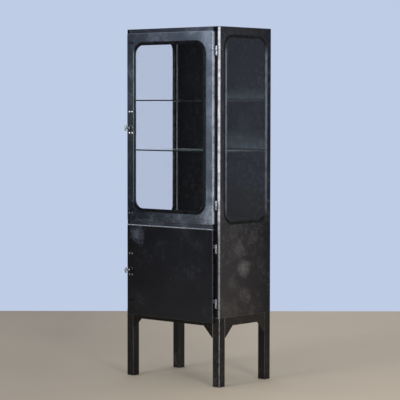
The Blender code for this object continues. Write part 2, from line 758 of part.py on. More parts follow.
def build_hinge(door_name, place_name, height, steel, parent):
    """One lift-off hinge: the lower half with its pin on the frame, the upper half on the door."""
    centre = (HINGE_X, HINGE_Y)
    dome = HINGE_RADIUS * (1 - math.sqrt(0.5))
    low = height - HINGE_HALF_HEIGHT
    high = height + HINGE_HALF_HEIGHT
    seat = height - HINGE_WASHER_GAP / 2
    name = door_name + "_hinge_" + place_name

    bm = bmesh.new()
    profile = [
        (HINGE_RADIUS - dome, low),
        (HINGE_RADIUS, low + dome),
        (HINGE_RADIUS, seat),
        (HINGE_PIN_RADIUS, seat),
        (HINGE_PIN_RADIUS, seat + HINGE_PIN_LENGTH - HINGE_PIN_RADIUS / 2),
        (HINGE_PIN_RADIUS / 2, seat + HINGE_PIN_LENGTH),
    ]
    add_turned(bm, profile, along_z, centre, ROUND_STEPS)
    half = add_object(name + "_frame_half", bm, steel)
    leaf_top = low + dome + HINGE_LEAF_HEIGHT
    face = FRONT_Y - SEAT_GAP
    bm = bmesh.new()
    web_x = HINGE_X - HINGE_RADIUS + HINGE_LEAF / 2
    outline = [
        (web_x, HINGE_Y),
        (HINGE_X, HINGE_Y),
        (HINGE_X, face - HINGE_PAD),
        (RIGHT_X - FRONT_BEND, face - HINGE_PAD),
        (RIGHT_X - FRONT_BEND, face),
        (HINGE_X - HINGE_FOOT_REACH, face),
        (HINGE_X - HINGE_FOOT_REACH, face - HINGE_PAD),
        (web_x, face - HINGE_PAD),
    ]
    join_loops(bm, [along_z(outline, low + dome), along_z(outline, leaf_top)])
    combine(half, add_object("weld_" + name + "_frame", bm, steel), 'UNION')

    bm = bmesh.new()
    seat = height + HINGE_WASHER_GAP / 2
    bore = HINGE_PIN_RADIUS + HINGE_PIN_CLEARANCE
    profile = [
        (bore, seat + HINGE_PIN_LENGTH + HINGE_PIN_CLEARANCE),
        (bore, seat),
        (HINGE_RADIUS, seat),
        (HINGE_RADIUS, high - dome),
        (HINGE_RADIUS - dome, high),
    ]
    add_turned(bm, profile, along_z, centre, ROUND_STEPS)
    half = add_object(name + "_door_half", bm, steel, parent)
    bm = bmesh.new()
    edge = DOOR_RIGHT + SEAT_GAP
    barrel = HINGE_X - (HINGE_RADIUS + bore) / 2
    pad = HINGE_PAD_WIDTH / 2
    middle = (DOOR_FRONT_Y + DOOR_FOLD + DOOR_BACK_Y) / 2
    outline = [
        (edge, middle - pad),
        (edge + HINGE_PAD, middle - pad),
        (edge + HINGE_PAD, HINGE_Y - HINGE_LEAF / 2),
        (barrel, HINGE_Y - HINGE_LEAF / 2),
        (barrel, HINGE_Y + HINGE_LEAF / 2),
        (edge + HINGE_PAD, HINGE_Y + HINGE_LEAF / 2),
        (edge + HINGE_PAD, middle + pad),
        (edge, middle + pad),
    ]
    join_loops(bm, [along_z(outline, high - dome - HINGE_LEAF_HEIGHT), along_z(outline, high - dome)])
    combine(half, add_object("weld_" + name + "_door", bm, steel, parent), 'UNION')


def add_screws(bm, heights, base_y):
    """Domed screws through the door into a base plate, a pair at each height."""
    face = DOOR_FRONT_Y - SEAT_GAP
    profile = [
        (SCREW_HEAD_RADIUS * 0.35, face - SCREW_HEAD_HEIGHT),
        (SCREW_HEAD_RADIUS * 0.75, face - SCREW_HEAD_HEIGHT * 0.75),
        (SCREW_HEAD_RADIUS, face - SCREW_HEAD_HEIGHT * 0.2),
        (SCREW_HEAD_RADIUS, face),
        (SCREW_SHANK_RADIUS, face),
        (SCREW_SHANK_RADIUS, base_y + CASE_BASE / 2),
    ]
    for z in heights:
        for side in (-SCREW_SPACING / 2, SCREW_SPACING / 2):
            add_turned(bm, profile, along_y, (LOCK_X + side, z), SMALL_ROUND_STEPS)


def involute_tooth(centre_angle):
    """One side-to-side outline of a pinion tooth as (radius, angle) pairs."""
    base = PITCH_RADIUS * math.cos(PRESSURE_ANGLE)
    tip = PITCH_RADIUS + GEAR_ADDENDUM
    root = PITCH_RADIUS - GEAR_DEDENDUM
    thickness = (GEAR_PITCH - GEAR_BACKLASH) / 2
    half_at_pitch = thickness / 2 / PITCH_RADIUS

    def spread(radius):
        roll = math.acos(min(1.0, base / radius))
        return math.tan(roll) - roll

    flank = [(root, half_at_pitch + spread(PITCH_RADIUS))]
    for i in range(3):
        radius = base + (tip - base) * i / 2
        flank.append((radius, half_at_pitch + spread(PITCH_RADIUS) - spread(radius)))
    rising = [(radius, centre_angle - half) for radius, half in flank]
    falling = [(radius, centre_angle + half) for radius, half in reversed(flank)]
    return rising + falling


def pinion_outline(axis_z):
    """The pinion's outline about the lock's axis, one tooth pointing at each rack."""
    points = []
    for i in range(PINION_TEETH):
        for radius, angle in involute_tooth(2 * math.pi * i / PINION_TEETH):
            points.append((LOCK_X + radius * math.cos(angle), axis_z + radius * math.sin(angle)))
    return points


def rod_outline(axis_z, end_z, sign):
    """A lock rod: a rack beside the pinion, an arm, and a bar that ends near a rail."""
    slope = math.tan(PRESSURE_ANGLE)
    half_gap = (GEAR_PITCH + GEAR_BACKLASH) / 4
    tip = PITCH_RADIUS - GEAR_ADDENDUM
    root = PITCH_RADIUS + GEAR_DEDENDUM
    back = root + RACK_BACK
    half_bar = ROD_WIDTH / 2
    reach = abs(end_z - axis_z)
    points = [(half_bar, reach), (-half_bar, reach), (-half_bar, ROD_ARM_START + ROD_WIDTH)]
    points += [(-back, ROD_ARM_START + ROD_WIDTH), (-back, -RACK_BELOW)]
    points.append((-tip, -RACK_BELOW))
    first = -math.floor(RACK_BELOW / GEAR_PITCH - 0.5)
    last = math.floor(RACK_ABOVE / GEAR_PITCH)
    for i in range(first, last + 1):
        middle = i * GEAR_PITCH
        at_tip = half_gap + GEAR_ADDENDUM * slope
        at_root = half_gap - GEAR_DEDENDUM * slope
        points += [
            (-tip, middle - at_tip),
            (-root, middle - at_root),
            (-root, middle + at_root),
            (-tip, middle + at_tip),
        ]
    points += [(-tip, ROD_ARM_START), (half_bar, ROD_ARM_START)]
    return [(LOCK_X + sign * a, axis_z + sign * b) for a, b in points]


def case_end_heights(axis_z):
    return axis_z - CASE_SCREW_BELOW - CASE_END_MARGIN, axis_z + CASE_SCREW_ABOVE + CASE_END_MARGIN


def build_lock(door, steel, chrome, parent):
    """The case, guides, rods, spindle and knob on one door."""
    name = door.name
    axis_z = lock_height(door)
    base_y = DOOR_FRONT_Y + SHEET + SEAT_GAP
    rod_front = ROD_Y - ROD_THICKNESS / 2
    rod_back = ROD_Y + ROD_THICKNESS / 2
    back_inner = rod_back + ROD_CLEARANCE
    back_outer = back_inner + CASE_WALL
    half = CASE_WIDTH / 2
    case_low, case_high = case_end_heights(axis_z)

    outer = [(LOCK_X - half, base_y), (LOCK_X + half, base_y), (LOCK_X + half, back_outer), (LOCK_X - half, back_outer)]
    inner_half = half - CASE_WALL
    hollow_front = base_y + CASE_BASE
    inner = [
        (LOCK_X - inner_half, hollow_front),
        (LOCK_X + inner_half, hollow_front),
        (LOCK_X + inner_half, back_inner),
        (LOCK_X - inner_half, back_inner),
    ]
    bm = bmesh.new()
    loops = [
        along_z(outer, case_low),
        along_z(outer, case_high),
        along_z(inner, case_high),
        along_z(inner, case_low),
    ]
    join_loops(bm, loops, ring=True)
    case = add_object(name + "_lock_case", bm, steel, parent)
    bm = bmesh.new()
    bearing = SPINDLE_RADIUS + SPINDLE_CLEARANCE
    bearing_ends = [(bearing, base_y - SHEET), (bearing, back_outer + SHEET)]
    add_turned(bm, bearing_ends, along_y, (LOCK_X, axis_z), ROUND_STEPS)
    combine(case, add_object("cut_" + name + "_lock_case", bm, steel, parent), 'DIFFERENCE')
    bm = bmesh.new()
    add_screws(bm, (axis_z + CASE_SCREW_ABOVE, axis_z - CASE_SCREW_BELOW), base_y)
    combine(case, add_object("weld_" + name + "_lock_case", bm, chrome, parent), 'UNION')

    post = ROD_WIDTH / 2 + ROD_CLEARANCE + GUIDE_WALL
    guide_back = rod_back + ROD_CLEARANCE + GUIDE_WALL
    plan = [
        (LOCK_X - half, base_y),
        (LOCK_X + half, base_y),
        (LOCK_X + half, base_y + CASE_BASE),
        (LOCK_X + post, base_y + CASE_BASE),
        (LOCK_X + post, guide_back),
        (LOCK_X - post, guide_back),
        (LOCK_X - post, base_y + CASE_BASE),
        (LOCK_X - half, base_y + CASE_BASE),
    ]
    for place, height in (("upper", door.high_guide), ("lower", door.low_guide)):
        guide_name = name + "_rod_guide_" + place
        low = height - GUIDE_HEIGHT / 2
        high = height + GUIDE_HEIGHT / 2
        guide = add_object(guide_name, extruded(plan, along_z, low, high), steel, parent)
        bm = bmesh.new()
        half_x = ROD_WIDTH / 2 + ROD_CLEARANCE
        slot_low = (LOCK_X - half_x, rod_front - ROD_CLEARANCE, low - SHEET)
        slot_high = (LOCK_X + half_x, rod_back + ROD_CLEARANCE, high + SHEET)
        add_box(bm, slot_low, slot_high)
        combine(guide, add_object("cut_" + guide_name, bm, steel, parent), 'DIFFERENCE')
        bm = bmesh.new()
        add_screws(bm, (height,), base_y)
        combine(guide, add_object("weld_" + guide_name, bm, chrome, parent), 'UNION')

    rods = (("upper", door.high_strike - ROD_END_GAP, 1), ("lower", door.low_strike + ROD_END_GAP, -1))
    for place, end_z, sign in rods:
        slide = pivot(name + "_" + place + "_rod_slide", (LOCK_X, ROD_Y, end_z), parent)
        outline = rod_outline(axis_z, end_z, sign)
        rod = extruded(outline, along_y, rod_front, rod_back)
        add_object(name + "_rod_" + place, rod, steel, slide)

    knob_pivot = pivot(name + "_knob_pivot", (LOCK_X, DOOR_FRONT_Y, axis_z), parent)
    centre = (LOCK_X, axis_z)
    bm = bmesh.new()
    hole = SPINDLE_RADIUS + SPINDLE_CLEARANCE
    face = DOOR_FRONT_Y - SEAT_GAP
    front = face - ROSE_THICKNESS
    loops = [
        (hole, face),
        (hole, front),
        (ROSE_RADIUS * 0.72, front),
        (ROSE_RADIUS * 0.93, front + ROSE_THICKNESS * 0.3),
        (ROSE_RADIUS, face - ROSE_THICKNESS * 0.25),
        (ROSE_RADIUS, face),
    ]
    join_loops(bm, [along_y(circle(r, ROUND_STEPS, centre), y) for r, y in loops], ring=True)
    add_object(name + "_rose", bm, chrome, parent)

    foot = front - SEAT_GAP
    tip = DOOR_FRONT_Y - KNOB_REACH
    socket_end = foot - KNOB_SOCKET
    socket = SPINDLE_RADIUS + SEAT_GAP
    profile = [
        (socket, socket_end),
        (socket, foot),
        (KNOB_BOSS_RADIUS, foot),
        (KNOB_BOSS_RADIUS, socket_end),
        (KNOB_NECK_RADIUS, socket_end - KNOB_BOSS_RADIUS + KNOB_NECK_RADIUS),
        (KNOB_NECK_RADIUS, tip + BOW_WIDTH - BOW_RIM * 0.6),
    ]
    bm = bmesh.new()
    add_turned(bm, profile, along_y, centre, ROUND_STEPS)
    knob = add_object(name + "_knob", bm, chrome, knob_pivot)

    bow_y = tip + BOW_WIDTH / 2
    ring = [(0.0, 0), (BOW_EDGE, 1), (BOW_RIM - BOW_EDGE, 1)]
    ring += [(BOW_RIM, 0), (BOW_RIM - BOW_EDGE, -1), (BOW_EDGE, -1)]
    loops = []
    for inset, face in ring:
        half_width, half_height = BOW_WIDTH / 2 - inset, BOW_HEIGHT / 2 - inset
        oval = [(bow_y + half_width * a, axis_z + half_height * b) for a, b in circle(1.0, ROUND_STEPS)]
        loops.append(along_x(oval, LOCK_X + face * BOW_THICKNESS / 2))
    bm = bmesh.new()
    join_loops(bm, loops, ring=True)
    combine(knob, add_object("weld_" + name + "_bow", bm, chrome, knob_pivot), 'UNION')

    bm = extruded(pinion_outline(axis_z), along_y, rod_front, rod_back)
    pinion = add_object(name + "_spindle", bm, steel, knob_pivot)
    bm = bmesh.new()
    shaft_ends = [(SPINDLE_RADIUS, foot - KNOB_SOCKET + SEAT_GAP), (SPINDLE_RADIUS, back_outer)]
    add_turned(bm, shaft_ends, along_y, centre, ROUND_STEPS)
    combine(pinion, add_object("weld_" + name + "_spindle", bm, steel, knob_pivot), 'UNION')


def main():
    start_empty()
    dark_steel = make_material("lacquered_steel", (0.030, 0.031, 0.034), 0.42, 0.85)
    plain_steel = make_material("bright_steel", (0.32, 0.33, 0.34), 0.35, 1.0)
    chrome = make_material("chrome", (0.62, 0.63, 0.65), 0.12, 1.0)
    rubber = make_material("black_rubber", (0.020, 0.021, 0.024), 0.55, 0.0)
    glass = make_material("clear_glass", (0.78, 0.88, 0.85), 0.03, 0.0, alpha=0.25)

    build_legs(dark_steel, rubber)
    build_aprons(dark_steel)
    build_sides(dark_steel)
    build_level_panels(dark_steel)
    build_rails(dark_steel)
    build_shelves(plain_steel, glass)
    for name, sign in (("left", -1), ("right", 1)):
        middle = sign * (RIGHT_X - SHEET / 2)
        build_window(name + "_window", side_window, along_x, middle, rubber, glass)

    for door, windowed in ((UPPER_DOOR, True), (LOWER_DOOR, False)):
        swing = pivot(door.name + "_pivot", (HINGE_X, HINGE_Y, door.bottom))
        build_door(door, dark_steel, windowed, swing)
        if windowed:
            build_window(door.name, door_window, along_y, DOOR_FRONT_Y + SHEET / 2, rubber, glass, swing)
        build_hinge(door.name, "top", door.top - HINGE_INSET, plain_steel, swing)
        build_hinge(door.name, "bottom", door.bottom + HINGE_INSET, plain_steel, swing)
        build_lock(door, plain_steel, chrome, swing)


main()
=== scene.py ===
import math
from functools import partial

import bmesh
import bpy
from mathutils import Matrix, Vector


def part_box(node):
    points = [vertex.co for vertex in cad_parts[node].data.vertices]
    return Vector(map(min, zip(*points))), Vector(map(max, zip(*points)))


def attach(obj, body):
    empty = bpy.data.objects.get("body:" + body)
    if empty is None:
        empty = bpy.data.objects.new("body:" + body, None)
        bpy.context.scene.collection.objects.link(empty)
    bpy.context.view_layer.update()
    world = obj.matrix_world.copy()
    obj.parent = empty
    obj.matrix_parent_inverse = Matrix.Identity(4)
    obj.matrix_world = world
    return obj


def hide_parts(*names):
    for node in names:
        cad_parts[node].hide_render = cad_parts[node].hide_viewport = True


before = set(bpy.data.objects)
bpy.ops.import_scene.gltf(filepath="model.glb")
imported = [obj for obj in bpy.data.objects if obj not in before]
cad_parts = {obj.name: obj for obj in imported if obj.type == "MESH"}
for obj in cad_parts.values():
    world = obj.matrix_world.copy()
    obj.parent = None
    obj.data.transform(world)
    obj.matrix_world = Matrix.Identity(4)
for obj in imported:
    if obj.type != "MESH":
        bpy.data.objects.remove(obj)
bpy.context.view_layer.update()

bpy.ops.object.select_all(action='DESELECT')
scene = bpy.context.scene
scene.view_settings.view_transform = 'Standard'


# ---- The camera ----
# A long lens stands 8.7 m away to the right of the doors, a little lower than the upper shelf,
# and looks slightly down, as the photograph's did.
CAMERA_PLACE = (5.7788, -6.4814, 1.3633)
CAMERA_YAW = math.radians(41.536)
CAMERA_TILT = math.radians(3.085)
CAMERA_ROLL = math.radians(0.072)

bpy.ops.object.camera_add()
camera = bpy.context.object
camera.data.sensor_width = 36.0
camera.data.lens = 155.94
camera.data.clip_start = 0.1
camera.data.clip_end = 200.0
camera.matrix_world = (
    Matrix.Translation(CAMERA_PLACE)
    @ Matrix.Rotation(CAMERA_YAW, 4, 'Z')
    @ Matrix.Rotation(math.pi / 2 - CAMERA_TILT, 4, 'X')
    @ Matrix.Rotation(CAMERA_ROLL, 4, 'Z')
)
scene.camera = camera


# ---- The floor ----
# A pale matt floor, painted a little lighter to the right: painted light, where more light falls.
# It ends behind the cabinet, where the photograph's wall stands, and runs far out to the other
# sides. There, between the two distances of FLOOR_LIT, mirrors begin to see it as dark as the
# room's screens.
FLOOR_BEHIND = 2.83
FLOOR_REACH = 60.0
FLOOR_LIT = (3.5, 6.0)


def linear(colour):
    """An sRGB hex colour as the linear RGBA that a shader takes."""
    values = [int(colour[i:i + 2], 16) / 255 for i in (1, 3, 5)]
    return tuple(v / 12.92 if v <= 0.04045 else ((v + 0.055) / 1.055) ** 2.4 for v in values) + (1.0,)


def add_node(tree, kind, inputs=(), **settings):
    """Adds a shader node, fills its sockets, in order or by name, with values, hex colours or
    links from other nodes' outputs, and returns its outputs."""
    made = tree.nodes.new('ShaderNode' + kind)
    for name, value in settings.items():
        setattr(made, name, value)
    for name, value in inputs.items() if isinstance(inputs, dict) else enumerate(inputs):
        if isinstance(value, bpy.types.NodeSocket):
            tree.links.new(value, made.inputs[name])
        else:
            made.inputs[name].default_value = linear(value) if isinstance(value, str) else value
    return made.outputs


def start_finish(name):
    """A new finish: its material, add_node bound to its tree, and the place on the piece."""
    made = bpy.data.materials.new(name)
    made.use_nodes = True
    made.node_tree.nodes.clear()
    add = partial(add_node, made.node_tree)
    return made, add, add('TexCoord')["Object"]


matt_floor, add, place = start_finish("matt_floor")
blotches = add('TexNoise', {"Vector": place, "Scale": 1.4, "Detail": 4.0})[0]
left, right = [
    add('Mix', {0: blotches, 6: deep, 7: pale}, data_type='RGBA')[2]
    for deep, pale in (("#a89c89", "#b2a693"), ("#c7b9a2", "#d1c4ac"))
]
# Painted light: the floor's tone grows paler towards the right, where more light falls
painted_light_to_right = add('VectorMath', (place, (math.cos(CAMERA_YAW), math.sin(CAMERA_YAW), 0.0)),
               operation='DOT_PRODUCT')["Value"]
painted_light_to_right = add('MapRange', (painted_light_to_right, -0.8, 0.4))[0]
tone = add('Mix', {0: painted_light_to_right, 6: left, 7: right}, data_type='RGBA')[2]
lit = add('BsdfPrincipled', {"Base Color": tone, "Roughness": 0.75})[0]
far = add('VectorMath', (place,), operation='LENGTH')["Value"]
far = add('MapRange', (far, FLOOR_LIT[0], FLOOR_LIT[1]))[0]
rays = add('LightPath')
mirrored = add('Math', (rays["Glossy Depth"], 0.5), operation='GREATER_THAN')[0]
far = add('Math', (far, mirrored), operation='MULTIPLY')[0]
rear = add('SeparateXYZ', (place,))[1]
rear = add('MapRange', (rear, -2.0, 2.0))[0]
unlit = add('Mix', {0: rear, 6: "#47494f", 7: "#7f8389"}, data_type='RGBA')[2]
unlit = add('Emission', {"Color": unlit})[0]
both = add('MixShader', (far, lit, unlit))[0]
add('OutputMaterial', {"Surface": both})

bpy.ops.mesh.primitive_plane_add(size=1.0)
floor = bpy.context.object
floor.name = "floor"
floor.rotation_euler.z = CAMERA_YAW
floor.scale = (FLOOR_REACH, FLOOR_REACH, 1.0)
away = Matrix.Rotation(CAMERA_YAW, 3, 'Z') @ Vector((0.0, 1.0, 0.0))
floor.location = away * (FLOOR_BEHIND - FLOOR_REACH / 2)
bpy.ops.object.transform_apply(location=True, rotation=True, scale=True)
floor.data.materials.append(matt_floor)


# ---- The light ----
# A soft pale room, a tall soft lamp in front and a narrower one at the right. What is seen, or
# seen through glass, is the blue wall. Metal and glass mirror the room, and dark screens that
# stand out at its four corners keep the panes clear.
WALL_HEX = "#bfcce5"
ROOM_HEX = "#f4f6ff"
ROOM_LEVEL = 0.62
MIRROR_LEVEL = 0.80
SCREEN_HEX = "#cfdcf4"
FRONT_SCREEN = 0.09
BACK_SCREEN = 0.36
SCREEN_EDGE = (0.90, 0.985)
WALL_EDGE = (0.70, 0.92)

world = bpy.data.worlds.new("studio")
scene.world = world
world.use_nodes = True
world.node_tree.nodes.clear()
add = partial(add_node, world.node_tree)
rays = add('LightPath')
seen = rays["Is Camera Ray"]
for kind in ("Is Glossy Ray", "Is Transmission Ray"):
    seen = add('Math', (seen, rays[kind]), operation='MAXIMUM')[0]
direct = add('Math', (rays["Diffuse Depth"], 0.5), operation='LESS_THAN')[0]
seen = add('Math', (seen, direct), operation='MULTIPLY')[0]
mirrored = add('Math', (rays["Glossy Depth"], 0.5), operation='GREATER_THAN')[0]
way = add('TexCoord')["Generated"]
screen = add('VectorMath', (way,), operation='ABSOLUTE')[0]
screen = add('VectorMath', (screen, (abs(away.x), abs(away.y), 0.05)), operation='DOT_PRODUCT')["Value"]
behind = add('VectorMath', (way, away), operation='DOT_PRODUCT')["Value"]
screen, behind = [
    add('MapRange', (value, start, end), interpolation_type='SMOOTHSTEP')[0]
    for value, (start, end) in ((screen, SCREEN_EDGE), (behind, WALL_EDGE))
]
bright, dark, dim = [
    [level * v for v in linear(colour)[:3]] + [1.0]
    for level, colour in ((MIRROR_LEVEL, ROOM_HEX), (FRONT_SCREEN, SCREEN_HEX), (BACK_SCREEN, SCREEN_HEX))
]
rear = add('SeparateXYZ', (way,))[1]
rear = add('MapRange', (rear, -0.2, 0.2))[0]
screens = add('Mix', {0: rear, 6: dark, 7: dim}, data_type='RGBA')[2]
tone = add('Mix', {0: screen, 6: bright, 7: screens}, data_type='RGBA')[2]
tone = add('Mix', {0: behind, 6: tone, 7: WALL_HEX}, data_type='RGBA')[2]
tone = add('Mix', {0: mirrored, 6: WALL_HEX, 7: tone}, data_type='RGBA')[2]
wall = add('Background', {"Color": tone})[0]
room = add('Background', {"Color": ROOM_HEX, "Strength": ROOM_LEVEL})[0]
sky = add('MixShader', (seen, room, wall))[0]
add('OutputWorld', {"Surface": sky})

# Each lamp's name, place, width and height, and watts. They point at the cabinet's middle.
LAMPS = (
    ("front_lamp", (-0.4, -5.6, 2.1), (1.5, 3.4), 115.0),
    ("right_lamp", (4.8, -2.6, 2.1), (1.0, 3.0), 85.0),
)
for name, spot, (wide, tall), watts in LAMPS:
    bpy.ops.object.light_add(type='AREA', location=spot)
    lamp = bpy.context.object
    lamp.name = name
    lamp.data.shape = 'RECTANGLE'
    lamp.data.size = wide
    lamp.data.size_y = tall
    lamp.data.energy = watts
    toward = Vector((0.0, 0.0, 1.0)) - Vector(spot)
    lamp.rotation_euler = toward.to_track_quat('-Z', 'Y').to_euler()


# ---- The legs ----
# Four lengths of 44 mm square steel tube with rolled corners. The paint is stripped, the
# steel blackened and clear lacquered, and the front right leg's corners are rubbed bright.
LEG_WALL = 0.002
LEG_CORNER = 0.004
OTHER_CORNERS = ("front_right", "back_left", "back_right")


def put_down():
    """Leaves edit mode and selects nothing, so that the next piece starts alone."""
    if bpy.context.mode != 'OBJECT':
        bpy.ops.object.mode_set(mode='OBJECT')
    bpy.ops.object.select_all(action='DESELECT')


def block(name, low, high):
    """A block between two corners, with its place in its mesh."""
    low, high = Vector(low), Vector(high)
    put_down()
    bpy.ops.mesh.primitive_cube_add(size=1.0, location=(low + high) / 2, scale=high - low)
    bpy.ops.object.transform_apply(location=True, rotation=True, scale=True)
    made = bpy.context.object
    made.name = name
    return made


def centre_of(part):
    """The middle of a face or an edge."""
    return sum((v.co for v in part.verts), Vector()) / len(part.verts)


def pick(piece, kind, test):
    """In edit mode, selects the faces or edges that pass a test, and nothing else."""
    bpy.ops.mesh.select_mode(type=kind)
    bpy.ops.mesh.select_all(action='DESELECT')
    mesh = bmesh.from_edit_mesh(piece.data)
    for part in mesh.faces if kind == 'FACE' else mesh.edges:
        part.select_set(bool(test(part)))
    mesh.select_flush_mode()
    bmesh.update_edit_mesh(piece.data)


def round_edges(piece, axis, radius, segments, test=lambda e: True):
    """Rounds a new piece's edges that run along an axis, 0 for X to 2 for Z, and pass a test."""
    def runs_along(edge):
        run = edge.verts[1].co - edge.verts[0].co
        return abs(run[axis]) > 0.99 * run.length

    bpy.ops.object.mode_set(mode='EDIT')
    pick(piece, 'EDGE', lambda e: runs_along(e) and test(e))
    bpy.ops.mesh.bevel(offset=radius, segments=segments)


def modify(piece, kind, **settings):
    """Puts a modifier on a piece and applies it."""
    put_down()
    bpy.context.view_layer.objects.active = piece
    modifier = piece.modifiers.new("step", kind)
    for name, value in settings.items():
        setattr(modifier, name, value)
    bpy.ops.object.modifier_apply(modifier=modifier.name)


def cut(piece, tool, operation='DIFFERENCE'):
    """Cuts a tool out of a piece, or welds it on, and throws the tool away."""
    modify(piece, 'BOOLEAN', operation=operation, solver='EXACT', object=tool)
    bpy.data.objects.remove(tool)


def settle(piece, finish, slot, body, *nodes, edge=0.0004, smooth=40.0):
    """Breaks a piece's sharp edges, shades it, and gives it its finish and its body."""
    put_down()
    piece.select_set(True)
    bpy.context.view_layer.objects.active = piece
    if edge:
        modify(piece, 'BEVEL', width=edge, segments=2, limit_method='ANGLE', angle_limit=math.radians(35.0),
               use_clamp_overlap=True)
    bpy.ops.object.shade_smooth_by_angle(angle=math.radians(smooth))
    modify(piece, 'WEIGHTED_NORMAL', keep_sharp=True)
    piece.data.materials.clear()
    piece.data.materials.append(finish)
    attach(piece, body)
    if nodes:
        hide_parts(*nodes)


def blackened_steel(name, deep, pale, wear, cloud=0.4, rub=0.3, rubbed="#77736f", edge="#c4c8cf",
                    gloss=0.40, coat=0.35, painted_light_drifts=(), shades=(), patches=(), wear_and_light_tone=None, painted_light_bands=(),
                    bends=1.0, rims=(), bright_side=None, front_corner=None):
    """Steel that was stripped, blackened by hand and clear lacquered: dark and uneven, with paler
    clouds a hand wide, rubbed spots the size of a coin, hairline scratches, and bright steel
    where bends and edges are worn. Places are in metres, and an axis is 0 for X to 2 for Z.
    drifts: (axis, start, end, amount), painted light: paler from start to end, towards the brighter lit side.
    shades: (axis, start, end, amount, colour), painted shade: darker past a line.
    patches: (place, radius, strength), where a hand or a cloth has rubbed it paler.
    wiped: (height, reach), painted light: a pale band that a glass shelf throws on the back just above it.
    rims: (axis, place, half its width, strength), edges that are worn; a strong one on a door's
    top edge is also a painted highlight.
    bright_side: how far the right folded side of a door is rubbed bright all over.
    front_corner: (the back of the front face, start, end, lower start, lower strength), how the
    right rolled corner beside the doors is worn, along X, above and below the deck. The stile's
    flat part beside the door is painted dark, as painted shade."""
    made, add, place = start_finish(name)
    axes = add('SeparateXYZ', (place,))
    normal = add('TexCoord')["Normal"]
    facing = add('SeparateXYZ', (normal,))
    clouds, mottle, rubs, specks, patch, ragged, waves, grain = [
        add('TexNoise', {"Vector": place, "Scale": 1000 / width, "Detail": detail,
                         "Roughness": rough, "Distortion": curl})[0]
        for width, detail, rough, curl in (
            (110, 4.0, 0.55, 0.4),  # the blackening's clouds, widths in millimetres
            (14, 3.0, 0.6, 0.0),    # the mottling in them
            (24, 6.0, 0.78, 0.0),   # rubbed spots
            (8, 3.0, 0.7, 0.0),     # specks in the rubbed patches
            (300, 1.0, 0.5, 0.0),   # where spots and scratches show
            (22, 5.0, 0.65, 0.0),   # the ragged border of worn edges
            (90, 2.0, 0.5, 0.0),    # waves of tenths of a millimetre, as the sheet was beaten flat by hand
            (2.5, 2.0, 0.5, 0.0),   # the steel's grain
        )
    ]
    uneven = add('Math', (mottle, 0.45, clouds), operation='MULTIPLY_ADD')[0]
    # The last is the lacquer: satin, and a little duller over the pale clouds
    rubs, specks, patch, ragged, dull = [
        add('MapRange', (value, start, end, least, most))[0]
        for value, start, end, least, most in (
            (rubs, 0.50, 0.66, 0.0, 1.0), (specks, 0.40, 0.64, 0.30, 1.10), (patch, 0.40, 0.62, 0.0, rub),
            (ragged, 0.34, 0.56, 0.35 * wear, wear), (uneven, 0.5, 1.0, gloss - 0.06, gloss + 0.08),
        )
    ]
    share = add('MapRange', (uneven, 0.86 - 0.25 * cloud, 1.06 - 0.25 * cloud),
                interpolation_type='SMOOTHSTEP')[0]
    # Painted light: paler along an axis, towards the brighter lit side
    for axis, start, end, amount in painted_light_drifts:
        lift = add('MapRange', (axes[axis], start, end, 0.0, amount))[0]
        share = add('Math', (share, 1.0 - amount, lift), operation='MULTIPLY_ADD')[0]
    layers = [(share, pale)]
    # Painted shade: darker past a line
    for axis, start, end, amount, painted_shade_colour in shades:
        share = add('MapRange', (axes[axis], start, end, 0.0, amount))[0]
        layers.append((share, painted_shade_colour))
    for centre, radius, strength in patches:
        off = add('VectorMath', (place, centre), operation='DISTANCE')["Value"]
        off = add('Math', (uneven, radius * -1.6, off), operation='MULTIPLY_ADD')[0]
        near = add('MapRange', (off, 0.0, radius * -1.1, 0.0, strength), interpolation_type='SMOOTHSTEP')[0]
        near = add('Math', (near, specks), operation='MULTIPLY')[0]
        layers.append((near, wear_and_light_tone))
    for height, reach in painted_light_bands:
        # Painted light: palest at the shelf, only above it, on the inner face, in its right half, and in spots
        band = add('MapRange', (axes[2], height + reach, height), interpolation_type='SMOOTHSTEP')[0]
        for share in (
            add('Math', (axes[2], height), operation='GREATER_THAN')[0],
            add('Math', (facing[1], -0.5), operation='LESS_THAN')[0],
            add('MapRange', (axes[0], -0.15, 0.05))[0],
            add('Math', (rubs, 0.4, 0.6), operation='MULTIPLY_ADD')[0],
        ):
            band = add('Math', (band, share), operation='MULTIPLY')[0]
        layers.append((band, wear_and_light_tone))
    # Hairline scratches: the crests of upright cells of 3 x 500 mm
    lean = add('Mapping', {"Vector": place, "Rotation": (0.12, 0.10, 0.0), "Scale": (1400.0, 1400.0, 8.0)})[0]
    lines = add('TexNoise', {"Vector": lean, "Scale": 0.25, "Detail": 2.0})[0]
    lines = add('MapRange', (lines, 0.70, 0.78, 0.0, 0.5))[0]
    marks = add('Math', (rubs, lines), operation='MAXIMUM')[0]
    marks = add('Math', (marks, patch), operation='MULTIPLY')[0]
    layers.append((marks, rubbed))
    # The whole piece is square to the axes, so a face that leans is a bend or a broken edge
    square = add('VectorMath', (normal,), operation='ABSOLUTE')[0]
    square = add('SeparateXYZ', (square,))
    flat = add('Math', (square[0], square[1]), operation='MAXIMUM')[0]
    flat = add('Math', (flat, square[2]), operation='MAXIMUM')[0]
    worn = add('MapRange', (flat, 0.995, 0.90, 0.0, bends), interpolation_type='SMOOTHSTEP')[0]
    others = []
    for axis, rim, width, strength in rims:
        off = add('Math', (axes[axis], rim), operation='SUBTRACT')[0]
        off = add('Math', (off,), operation='ABSOLUTE')[0]
        others.append(add('MapRange', (off, width, width * 0.4, 0.0, strength))[0])
    if front_corner:
        face_back, start, end, low_start, low_strength = front_corner
        front = add('Math', (axes[1], face_back), operation='LESS_THAN')[0]
        full = add('MapRange', (axes[0], start, end))[0]
        thin = add('MapRange', (axes[0], low_start, low_start + 0.002, 0.0, low_strength))[0]
        above = add('MapRange', (axes[2], 0.72, 0.86))[0]
        band = add('Mix', {0: above, 2: thin, 3: full}, data_type='FLOAT')[0]
        others.append(add('Math', (band, front), operation='MULTIPLY')[0])
